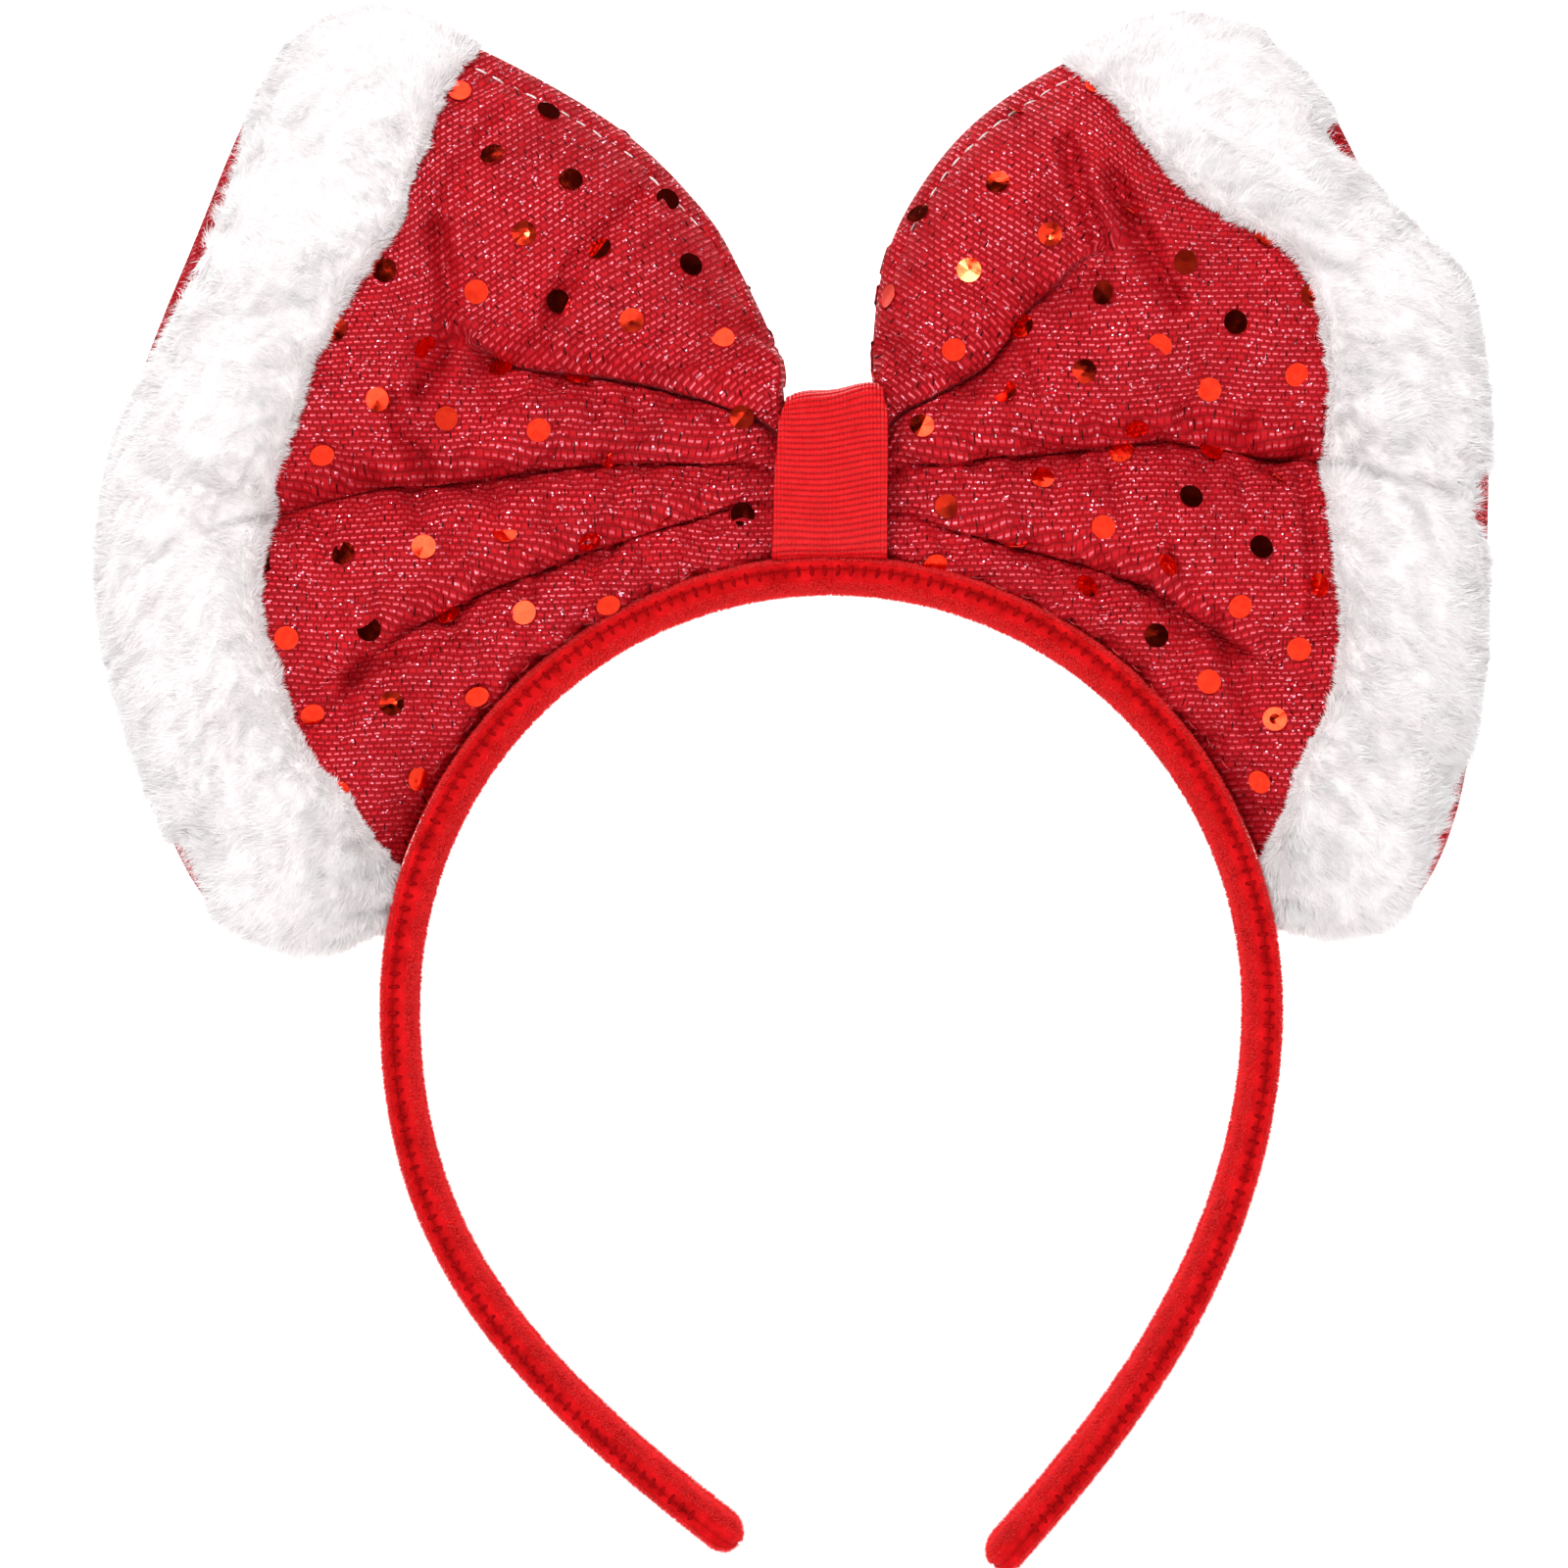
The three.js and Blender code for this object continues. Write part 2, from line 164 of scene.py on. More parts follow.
# ---- the bow's outlines, as in the CAD part ------------------------------------------------------
def fold_of(rows, depth, reach):
    """A fold's rows are [s, v] points of its crease; the cloth above hangs over it a little."""
    return dict(rows=rows, depth=depth, reach=reach)


def dent_of(line, depth, width):
    """A soft short crease; its line is in X and Z."""
    return dict(line=line, depth=depth, width=width)


# A lattice of spangles is an origin and its two steps. The plush list is s of its inner edge, from
# the band up. At the bare places, [v, half their length], the cloth's edge shows past the plush.
LOBES = {
    "left": dict(
        side=-1,
        top=[(-7, WAIST_HIGH), (-8.3, 37.1), (-13.1, 48), (-19.7, 59), (-33.2, 71.9), (-54.2, 83.7),
             (-69, 88.2), (-83.5, 84)],
        end=[(-68.3, -51), (-82, -54.5), (-96.5, -45.5), (-106.8, -21), (-111.6, 0), (-110, 19),
             (-104.5, 36.5), (-97, 55), (-90, 72), (-83.5, 84)],
        plush=[0.89, 0.75, 0.75, 0.76, 0.74, 0.71, 0.7, 0.68, 0.7, 0.71],
        folds=[
            fold_of([(0, 0.76), (0.19, 0.67), (0.41, 0.62), (0.53, 0.64), (1, 0.66)], 0.8, 0.62),
            fold_of([(0, 0.56), (0.18, 0.48), (0.36, 0.44), (0.65, 0.45), (1, 0.46)], 0.9, 0.98),
            fold_of([(0, 0.37), (0.23, 0.26), (0.44, 0.25), (0.67, 0.24), (1, 0.24)], 0.86, 0.8),
        ],
        dents=[
            dent_of([(-59.5, 54), (-57.6, 45), (-58.4, 36), (-61.8, 30)], 2.3, 1.6),
            dent_of([(-40, 45), (-45, 38), (-52, 35)], 1.1, 1.9),
            dent_of([(-66, 29), (-64.5, 24), (-61, 19)], 1.8, 1.4),
            dent_of([(-30, 59), (-38, 50), (-43, 43)], 1.0, 2.2),
            dent_of([(-50, 72), (-56, 62), (-59, 56)], 0.9, 2.0),
            dent_of([(-69, 18), (-74, 17), (-80, 15)], 1.2, 1.5),
            dent_of([(-73, -13), (-66, -10), (-56, -8)], 1.3, 1.5),
            dent_of([(-79, -20), (-74, -16), (-71, -10)], 1.0, 1.4),
            dent_of([(-36, 28), (-50, 29), (-60, 25)], 0.8, 2.4),
        ],
        lattices=[
            ((-51.6, 64.5), (12.15, -2.4), (-7.5, -8.25)),
            ((-57.8, -4.5), (12.2, 1.2), (-3.5, 11.2)),
        ],
        bare=[(0.80, 0.12), (0.21, 0.035)],
    ),
    "right": dict(
        side=1,
        top=[(7.3, WAIST_HIGH), (6.4, 38), (8.3, 51.3), (14, 62.9), (22.7, 72.9), (35.6, 81.3),
             (50, 87), (66, 86)],
        end=[(68.3, -51), (78, -51.5), (88.5, -47.5), (95.5, -34), (99, -13), (100.5, 12), (100, 28),
             (97, 47), (89, 56), (82.5, 63), (75, 76.5), (66, 86)],
        plush=[0.87, 0.72, 0.73, 0.73, 0.72, 0.74, 0.74, 0.68, 0.67, 0.67],
        folds=[
            fold_of([(0, 0.78), (0.21, 0.68), (0.3, 0.7), (0.38, 0.73), (1, 0.8)], 0.8, 0.5),
            fold_of([(0, 0.55), (0.23, 0.46), (0.47, 0.47), (0.6, 0.46), (1, 0.49)], 0.9, 0.98),
            fold_of([(0, 0.32), (0.15, 0.23), (0.42, 0.21), (0.54, 0.19), (1, 0.19)], 0.86, 0.74),
        ],
        dents=[
            dent_of([(36, 67), (38, 60), (41, 52)], 2.0, 1.6),
            dent_of([(42.5, 62), (47, 53), (52, 43)], 2.3, 1.7),
            dent_of([(30, 46), (36, 44), (41, 47)], 1.0, 2.0),
            dent_of([(62, 24), (66, 21), (71, 22)], 1.6, 1.3),
            dent_of([(53, 27), (58, 24), (63, 25.5)], 1.3, 1.2),
            dent_of([(71, 18), (72, 8), (72.5, -4)], 0.9, 1.0),
            dent_of([(58, -4), (62, -14), (64, -22)], 1.2, 1.6),
            dent_of([(47, 1), (54, -5), (62, -9)], 1.0, 1.4),
        ],
        lattices=[
            ((25.5, 60.6), (11.7, 3.9), (-3.7, -11.7)),
            ((51.3, 3.8), (13.0, 3.3), (-3.0, -9.8)),
        ],
        bare=[(0.5, 0.035), (0.2, 0.075), (0.87, 0.025)],
    ),
}
SEAM_HALF_DEPTH = 1.05  # of each layer from the middle, near the seams
PUFF = 9.3  # of the wadding, at the thickest
ROLL = 1.7  # how far the cloth above a crease bulges over it
DENT_DEPTH = 2.4  # of a dent of depth 1
GATHER_DEPTH = 0.6  # of the small gathers by the knot
SLACK_DEPTH = 0.95  # of the cloth's slow waves
LOBE_LENGTH = 105.0
EDGE_ROLL = 1.1  # width of the rolled edge where the layers meet
EDGE_DEPTH = 0.47  # of each layer from the middle, at the very edge
CREASE_FLOOR = SEAM_HALF_DEPTH + 0.2  # of each layer from the middle, at the bottom of a crease
LEAST_DEPTH = 0.6  # of each layer from the middle, where a dent or slack takes it further in
HEM = 3.0  # width of the folded top hem
BACK_HEM = 1.2
FOLD_LIP = 1.7  # overhang of the cloth above a crease
BACK_FOLD_SHIFT = 2.5  # the back's folds don't lie exactly behind the front's
SEAT_RADIUS = OUTER_RADIUS - 1.1  # of the bow's lower edge, on the band
KNOT_SEAT = 4.7  # height of the cloth's lower edge where it leaves the knot
WEAVE_PIVOT = 0.58  # s of the place on the highest fold where the courses begin to turn
WEAVE_TURN = math.radians(33)
WEAVE_ORIGIN = 300.0  # keeps the weave's coordinates above zero
LOBE_END_ANGLE = math.radians(80.4)
WAIST_HALF_WIDTH = 9.6


def gap_to(line, at):
    """The distance from each point to a polyline."""
    line = catmull(line, 8)
    a, b = line[:-1], line[1:]
    span = b - a
    share = np.sum((at[..., None, :] - a) * span, -1) / np.sum(span * span, -1)
    near = a + np.clip(share, 0, 1)[..., None] * span
    return np.linalg.norm(at[..., None, :] - near, axis=-1).min(-1)


def cubic_weights(t):
    """Catmull-Rom weights of the four grid points round a place."""
    return np.stack([
        -t**3 + 2 * t**2 - t,
        3 * t**3 - 5 * t**2 + 2,
        -3 * t**3 + 4 * t**2 + t,
        t**3 - t**2,
    ], -1) / 2


def look_up(table, s, v):
    """A smooth reading of a grid over s and v in 0 to 1."""
    rows, columns = table.shape[:2]
    i, j = np.clip(s, 0, 1) * (rows - 1), np.clip(v, 0, 1) * (columns - 1)
    i0, j0 = np.minimum(i.astype(int), rows - 2), np.minimum(j.astype(int), columns - 2)
    row_weights, column_weights = cubic_weights(i - i0), cubic_weights(j - j0)
    out = 0
    for a in range(4):
        near_i = np.clip(i0 + a - 1, 0, rows - 1)
        for b in range(4):
            near_j = np.clip(j0 + b - 1, 0, columns - 1)
            weight = row_weights[..., a] * column_weights[..., b]
            out = out + weight[..., None] * table[near_i, near_j]
    return out


class Lobe:
    """One side of the bow. s runs out from the knot, v up from the band, and facing is -1 in front."""

    def __init__(self, name, side, top, end, plush, folds, dents, lattices, bare):
        self.name, self.side, self.folds, self.dents = name, side, folds, dents
        self.lattices, self.bare = lattices, bare
        self.top, self.end = Path(catmull(top)), Path(catmull(end))
        self.plush_line = catmull(np.stack([np.linspace(0, 1, len(plush)), plush], -1), 12)
        self.start = math.asin(WAIST_HALF_WIDTH / SEAT_RADIUS)
        self.lift = KNOT_SEAT - (SEAT_RADIUS * math.cos(self.start) - INNER_RADIUS)
        self.grain = Noise(SEED + side)
        self.crumple = Noise(SEED + 5 * side)
        # for each facing, a grid over s and v of how far the cloth moved as it settled
        self.settled = {}

    def bottom(self, s):
        angle = lerp(self.start, LOBE_END_ANGLE, s)
        lift = self.lift * (1 - smooth(s, 0, 0.1))
        x = self.side * SEAT_RADIUS * np.sin(angle)
        return np.stack([x, SEAT_RADIUS * np.cos(angle) - INNER_RADIUS + lift], -1)

    def at(self, s, v):
        """The bow's middle plane, as X and Z: a patch between its four edges."""
        s, v = np.broadcast_arrays(np.asarray(s, float), np.asarray(v, float))
        S, V = np.clip(s, 0, 1)[..., None], np.clip(v, 0, 1)[..., None]
        k0, k1 = self.bottom(np.zeros(())), self.top.at(0)
        e0, e1 = self.bottom(np.ones(())), self.top.at(1)
        ruled_up = (1 - V) * self.bottom(S[..., 0]) + V * self.top.at(S[..., 0])
        ruled_out = (1 - S) * lerp(k0, k1, V) + S * self.end.at(V[..., 0])
        corners = (1 - S) * (1 - V) * k0 + (1 - S) * V * k1 + S * (1 - V) * e0 + S * V * e1
        return ruled_up + ruled_out - corners

    def height(self, s):
        """Length up the lobe from the band to the top edge."""
        return np.linalg.norm(self.at(s, np.ones_like(s)) - self.at(s, np.zeros_like(s)), axis=-1)

    def plush_edge(self, v):
        v = np.asarray(v, float)
        return np.interp(v, *self.plush_line.T) + 0.006 * self.grain(v * 23, v * 5)

    def bareness(self, v):
        """1 where the plush stops short of the cloth's outer edge."""
        return sum(np.exp(-((np.abs(v - place) / half) ** 4)) for place, half in self.bare)

    def fold_line(self, fold, s):
        return np.interp(s, *catmull(fold["rows"], 12).T)

    def fold_offsets(self, s, v, facing):
        """For each fold, how far above its crease the cloth is, and how strong the fold is there."""
        height = self.height(s)
        for number, fold in enumerate(self.folds):
            wander = 0.5 * self.grain(s * 14 + 7 * number, v * 2 + facing)
            off = (v - self.fold_line(fold, s)) * height + wander
            strength = 1 - smooth(s, fold["reach"] * 0.6, fold["reach"])
            if facing > 0:
                off = off + BACK_FOLD_SHIFT * math.sin(3 * number + 1)
            yield off, strength, fold["depth"]

    def slip(self, s, v, facing):
        """How far the lip above each crease hangs down over it."""
        fall = np.zeros(np.broadcast(s, v).shape)
        for off, strength, depth in self.fold_offsets(s, v, facing):
            fall = fall + FOLD_LIP * depth * strength * bell(off - 1.3, 1.3)
        return fall * smooth(s, 0.02, 0.12)

    def puffed(self, s, v, facing):
        """The cloth's depth before its creases, and its rounding over from bottom to top, 0 to 1."""
        height = self.height(s)
        hem = 1 - HEM / height * smooth(s, 0.05, 0.15) if facing < 0 else 1 - BACK_HEM / height
        inside = np.clip(v / hem, 0, 1)
        across = np.clip(1 - (2 * inside - 1) ** 4, 0, 1) ** 0.6
        closing = np.clip(1 - s**8, 0, 1) ** 0.7
        swell = closing * (0.55 + 0.45 * np.sin(math.pi * s**0.8)) * across
        waist = WAIST_SHOULDER + (WAIST_HALF_DEPTH - WAIST_SHOULDER) * (1 - (2 * v - 1) ** 6)
        return lerp(waist, SEAM_HALF_DEPTH + PUFF * swell, smooth(s, 0, 0.25)), across

    def creased(self, s, v, facing):
        """How deep the creases cut, 0 to 1, and how far the cloth rolls over their lips, 0 to 1.

        A crease is steep above and has a slower slope below, with a full roll of cloth over its lip.
        """
        crease, roll = np.zeros(s.shape), np.zeros(s.shape)
        for off, strength, dip in self.fold_offsets(s, v, facing):
            tight = lerp(0.7, 1.3, smooth(s, 0, 0.6))
            above = 0.66 * np.exp(-np.abs(off) / (1.1 * tight)) + 0.34 * bell(off, 5 * tight)
            below = 0.4 * np.exp(-np.abs(off) / (1.4 * tight)) + 0.6 * bell(off, 7 * tight)
            crease = 1 - (1 - crease) * (1 - dip * strength * np.where(off > 0, above, below))
            roll = roll + strength * bell(off - 4.5 * tight, 3 * tight)
        return crease, roll

    def dented(self, depth, s, v):
        """The front's depth with its dents pressed in."""
        at = self.at(s, v)
        for dent in self.dents:
            gap = gap_to(dent["line"], at) / dent["width"]
            ridge = bell(gap, 1) - 0.45 * bell(gap, 2.4)
            depth = depth - DENT_DEPTH * dent["depth"] * ridge
        return depth

    def slackened(self, depth, across, s, v, facing):
        """The depth with small gathers by the knot, and slack in the cloth."""
        gathers = self.crumple(s * 4 + 3, v * 30 + 11 * facing)
        depth = depth + GATHER_DEPTH * gathers * np.exp(-s / 0.2) * smooth(s, 0.0, 0.03)
        slack = self.crumple(s * 8 + 20, v * 8 + 5 * facing)
        slack = slack + 0.5 * self.crumple(s * 21 + 9, v * 15 + 3 * facing)
        return depth + SLACK_DEPTH * slack * across * smooth(s, 0.08, 0.3) * (1 - smooth(s, 0.9, 1))

    def half_depth(self, s, v, facing):
        """How far the cloth stands from the bow's middle plane."""
        depth, across = self.puffed(s, v, facing)
        crease, roll = self.creased(s, v, facing)
        depth = depth + ROLL * roll * across * smooth(s, 0.1, 0.3)
        depth = lerp(depth, np.minimum(depth, CREASE_FLOOR), crease)
        if facing < 0:
            depth = self.dented(depth, s, v)
        depth = self.slackened(depth, across, s, v, facing)
        # the edges roll in until the two layers meet
        to_edge = np.minimum(np.minimum(v, 1 - v) * self.height(s), (1 - s) * LOBE_LENGTH)
        return lerp(EDGE_DEPTH, np.maximum(depth, LEAST_DEPTH), smooth(to_edge, 0, EDGE_ROLL))

    def point(self, s, v, facing=-1):
        s, v = np.broadcast_arrays(np.asarray(s, float), np.asarray(v, float))
        fallen = v - self.slip(s, v, facing) / self.height(s)
        at = self.at(s, fallen)
        laid = np.stack([at[..., 0], facing * self.half_depth(s, v, facing), at[..., 1]], -1)
        if facing in self.settled:
            laid = laid + look_up(self.settled[facing], s, v)
        return laid

    def front_normal(self, s, v, reach=0.006):
        """The front cloth's outward normal, averaged over a small patch."""
        further, nearer = np.clip(s + reach, 0, 1), np.clip(s - reach, 0, 1)
        higher, lower = np.clip(v + reach, 0, 1), np.clip(v - reach, 0, 1)
        along = self.point(further, v) - self.point(nearer, v)
        up = self.point(s, higher) - self.point(s, lower)
        n = unit(np.cross(along, up))
        return n * np.sign(1e-9 - n[..., 1:2])

    def rows(self, s, count, facing):
        """v at count steps in each column of s, closer together near the creases."""
        even = np.linspace(0, 1, 400)[None, :]
        column = s.reshape(-1, 1)
        crowd = np.ones((len(column), 400))
        for off, strength, _ in self.fold_offsets(column, even, facing):
            crowd += 3.5 * strength * bell(off, 3.0)
        crowd += 2.0 * bell((1 - even) * self.height(column) - HEM, 1.2)
        total = np.cumsum(crowd, axis=1)
        total = (total - total[:, :1]) / (total[:, -1:] - total[:, :1])
        steps = np.linspace(0, 1, count)
        return np.stack([np.interp(steps, row, even[0]) for row in total])

    def weave(self, s, v):
        """The cloth's own directions in millimetres: along its courses, and across them.

        The courses lie level, and turn up towards the knot in the cloth above the highest fold.
        """
        at = self.at(s, v)
        fold = self.folds[0]
        above = (v - self.fold_line(fold, s)) * self.height(s)
        fade = lerp(0.8, 45.0, smooth(s, WEAVE_PIVOT - 0.1, WEAVE_PIVOT + 0.25))
        turned = smooth(above, -0.35 * fade, fade)
        off = at - self.at(WEAVE_PIVOT, self.fold_line(fold, WEAVE_PIVOT))
        tilt = -self.side * WEAVE_TURN
        level_u, level_v = off[..., 0], off[..., 1]
        turned_u = off[..., 0] * math.cos(tilt) + off[..., 1] * math.sin(tilt)
        turned_v = -off[..., 0] * math.sin(tilt) + off[..., 1] * math.cos(tilt)
        places = [lerp(level_u, turned_u, turned), lerp(level_v, turned_v, turned)]
        return np.stack(places, -1) + WEAVE_ORIGIN


lobes = {name: Lobe(name, **shape) for name, shape in LOBES.items()}


# ---- mesh helpers --------------------------------------------------------------------------------
def make_mesh(name, verts, faces, material, uv=None, shade_smooth=True, bake=None):
    """An object from vertices in millimetres, and triangles or quads as an index array.

    uv holds a place for each vertex, and bake, where given, one for each corner of each face.
    """
    verts = np.asarray(verts, np.float32).reshape(-1, 3) * MM
    faces = np.asarray(faces, np.int32)
    mesh = bpy.data.meshes.new(name)
    mesh.vertices.add(len(verts))
    mesh.vertices.foreach_set("co", verts.ravel())
    mesh.loops.add(faces.size)
    mesh.loops.foreach_set("vertex_index", faces.ravel())
    mesh.polygons.add(len(faces))
    sides = faces.shape[1]
    mesh.polygons.foreach_set("loop_start", np.arange(0, faces.size, sides, dtype=np.int32))
    mesh.polygons.foreach_set("use_smooth", np.full(len(faces), shade_smooth))
    if uv is not None:
        layer = mesh.uv_layers.new(name="cloth")
        layer.data.foreach_set("uv", np.asarray(uv, np.float32)[faces.ravel()].ravel())
    if bake is not None:
        layer = mesh.uv_layers.new(name="OFBake")
        layer.data.foreach_set("uv", np.asarray(bake, np.float32).ravel())
    mesh.update(calc_edges=True)
    mesh.validate()
    if material is not None:
        mesh.materials.append(material)
    piece = bpy.data.objects.new(name, mesh)
    bpy.context.scene.collection.objects.link(piece)
    return piece


def grid_faces(rows, columns, wrap_rows=False, wrap_columns=False, start=0):
    i = np.arange(rows if wrap_rows else rows - 1)
    j = np.arange(columns if wrap_columns else columns - 1)
    i, j = np.meshgrid(i, j, indexing="ij")
    a = i * columns + j
    b = ((i + 1) % rows) * columns + j
    c = ((i + 1) % rows) * columns + (j + 1) % columns
    d = i * columns + (j + 1) % columns
    return start + np.stack([a, b, c, d], -1).reshape(-1, 4)


def grid_bake(rows, columns, wrap_rows=False, wrap_columns=False, left=0.0, width=1.0):
    """The bake layer's corners for the faces of grid_faces, in one upright strip of the unit square."""
    i = np.arange(rows if wrap_rows else rows - 1)
    j = np.arange(columns if wrap_columns else columns - 1)
    high, wide = len(i), len(j)
    i, j = np.meshgrid(i, j, indexing="ij")
    across = np.stack([j, j, j + 1, j + 1], -1) / wide
    up = np.stack([i, i + 1, i + 1, i], -1) / high
    return np.stack([left + width * across, up], -1).reshape(-1, 4, 2)


def shell(name, outer, inner, material, uv=None, flip=False):
    """A closed skin between two grids of points of the same shape."""
    rows, columns = outer.shape[:2]
    count = rows * columns
    top = grid_faces(rows, columns)
    base = grid_faces(rows, columns, start=count)[:, ::-1]
    index = np.arange(count).reshape(rows, columns)
    rim = np.concatenate([index[0, :], index[1:, -1], index[-1, -2::-1], index[-2:0:-1, 0]])
    after = np.roll(rim, -1)
    side = np.stack([rim, after, after + count, rim + count], -1)
    faces = np.vstack([top, base, side])
    step = np.arange(len(rim))[:, None] + np.array([0, 1, 1, 0])
    edge = np.stack([np.broadcast_to([0.98, 0.98, 1.0, 1.0], step.shape), step / len(rim)], -1)
    face_bake = grid_bake(rows, columns, width=0.48)
    base_bake = grid_bake(rows, columns, left=0.49, width=0.48)[:, ::-1]
    bake = np.concatenate([face_bake, base_bake, edge])
    if flip:
        faces, bake = faces[:, ::-1], bake[:, ::-1]
    verts = np.concatenate([outer.reshape(-1, 3), inner.reshape(-1, 3)])
    uvs = None if uv is None else np.concatenate([uv.reshape(-1, 2)] * 2)
    return make_mesh(name, verts, faces, material, uvs, bake=bake)


def strands(name, roots, directions, lengths, width, bend, material, seed):
    """Pile as flat tapered strands: three triangles each, bent towards bend."""
    rng = np.random.default_rng(seed)
    count = len(roots)
    side = unit(np.cross(directions, rng.normal(size=(count, 3))))
    L = lengths[:, None]
    middle = roots + directions * L * 0.55 + bend * L * 0.12
    tip = roots + directions * L + bend * L * 0.42
    half = side * (width / 2)
    verts = np.stack([roots - half, roots + half, middle - half * 0.8, middle + half * 0.8, tip], 1)
    base = np.arange(count)[:, None] * 5
    tris = np.concatenate([base + [0, 1, 3], base + [0, 3, 2], base + [2, 3, 4]], 1).reshape(-1, 3)
    one = np.array([(0, 0), (1, 0), (0, 0.55), (1, 0.55), (0.5, 1)], float)
    # each strand has a small cell of the bake layer to itself
    cells_across = math.ceil(math.sqrt(count))
    cell = np.stack(np.divmod(np.arange(count), cells_across), -1)
    bake = (cell[:, None] + 0.1 + 0.8 * one) / cells_across
    corners = bake.reshape(-1, 2)[tris.ravel()]
    return make_mesh(name, verts, tris, material, np.tile(one, (count, 1)), bake=corners)


def on_crown(piece, slot_name=None, *replaced):
    """The piece rides on the crown, in place of the nodes named; slot_name is not used."""
    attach(piece, "crown")
    if replaced:
        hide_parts(*replaced)


# ---- the padded cloth settles --------------------------------------------------------------------
SETTLE_GRID = (64, 84)
SETTLE_FRAMES = 22
SETTLE_UNIT = 100.0  # millimetres in one unit of the simulation
SETTLE_SLACK = 0.045  # the gathered cloth's spare length
SETTLE_PRESSURE = 5.0  # of the wadding against the cloth
SETTLE_MOST = 3.2  # millimetres; further moves are drawn back softly
SETTLE_PIN = 0.9  # half the width of the strip of cloth that is held still along each crease


def held_places(lobe, s, v, facing):
    """The places that stay still: the edges, the gathers by the knot, and the creases."""
    held = np.zeros(s.shape, bool)
    held[:3] = held[-1] = held[:, 0] = held[:, -1] = True
    for off, strength, _ in lobe.fold_offsets(s, v, facing):
        held |= (np.abs(off) < SETTLE_PIN) & (strength > 0.3)
    return held


def make_slack(piece, held):
    """Makes the piece a slack knit, pinned at its held places and pressed out by the wadding."""
    group = piece.vertex_groups.new(name="held")
    group.add([int(k) for k in np.flatnonzero(held)], 1.0, "REPLACE")
    modifier = piece.modifiers.new("cloth", "CLOTH")
    knit = modifier.settings
    knit.quality, knit.mass, knit.air_damping = 6, 0.05, 2
    knit.tension_stiffness, knit.compression_stiffness, knit.shear_stiffness = 15, 5, 5
    knit.tension_damping, knit.compression_damping, knit.shear_damping = 5, 5, 5
    knit.bending_stiffness = 0.02
    knit.vertex_group_mass, knit.pin_stiffness = "held", 1
    knit.shrink_min = knit.shrink_max = -SETTLE_SLACK
    knit.use_pressure, knit.uniform_pressure_force = True, SETTLE_PRESSURE
    knit.effector_weights.gravity = 0
    modifier.collision_settings.use_collision = False
    modifier.point_cache.frame_start, modifier.point_cache.frame_end = 1, SETTLE_FRAMES


def last_frame(piece):
    """The piece's points at the end of its simulation. The piece itself is thrown away."""
    scene = bpy.context.scene
    for number in range(1, SETTLE_FRAMES + 1):
        scene.frame_set(number)
    shown = piece.evaluated_get(bpy.context.evaluated_depsgraph_get())
    mesh = piece.data
    at = np.empty(len(mesh.vertices) * 3)
    shown.data.vertices.foreach_get("co", at)
    bpy.data.objects.remove(piece)
    bpy.data.meshes.remove(mesh)
    scene.frame_set(1)
    return at


def settle(lobe, facing):
    """How far each place of one layer of a lobe moves in a short cloth simulation."""
    rows, columns = SETTLE_GRID
    s, v = np.meshgrid(np.linspace(0, 1, rows), np.linspace(0, 1, columns), indexing="ij")
    laid = lobe.point(s, v, facing)
    faces = grid_faces(rows, columns)
    turn = np.cross(laid[1:, :-1] - laid[:-1, :-1], laid[:-1, 1:] - laid[:-1, :-1]).reshape(-1, 3).mean(0)
    if turn[1] * facing < 0:
        faces = faces[:, ::-1]
    piece = make_mesh("settling", laid / (MM * SETTLE_UNIT), faces, None)
    make_slack(piece, held_places(lobe, s, v, facing))
    moved = last_frame(piece).reshape(rows, columns, 3) * SETTLE_UNIT - laid
    if not np.isfinite(moved).all():
        return np.zeros_like(laid)
    far = np.linalg.norm(moved, axis=-1, keepdims=True)
    return moved * np.tanh(far / SETTLE_MOST) * SETTLE_MOST / np.maximum(far, 1e-6)


for lobe in lobes.values():
    lobe.settled = {facing: settle(lobe, facing) for facing in (-1, 1)}


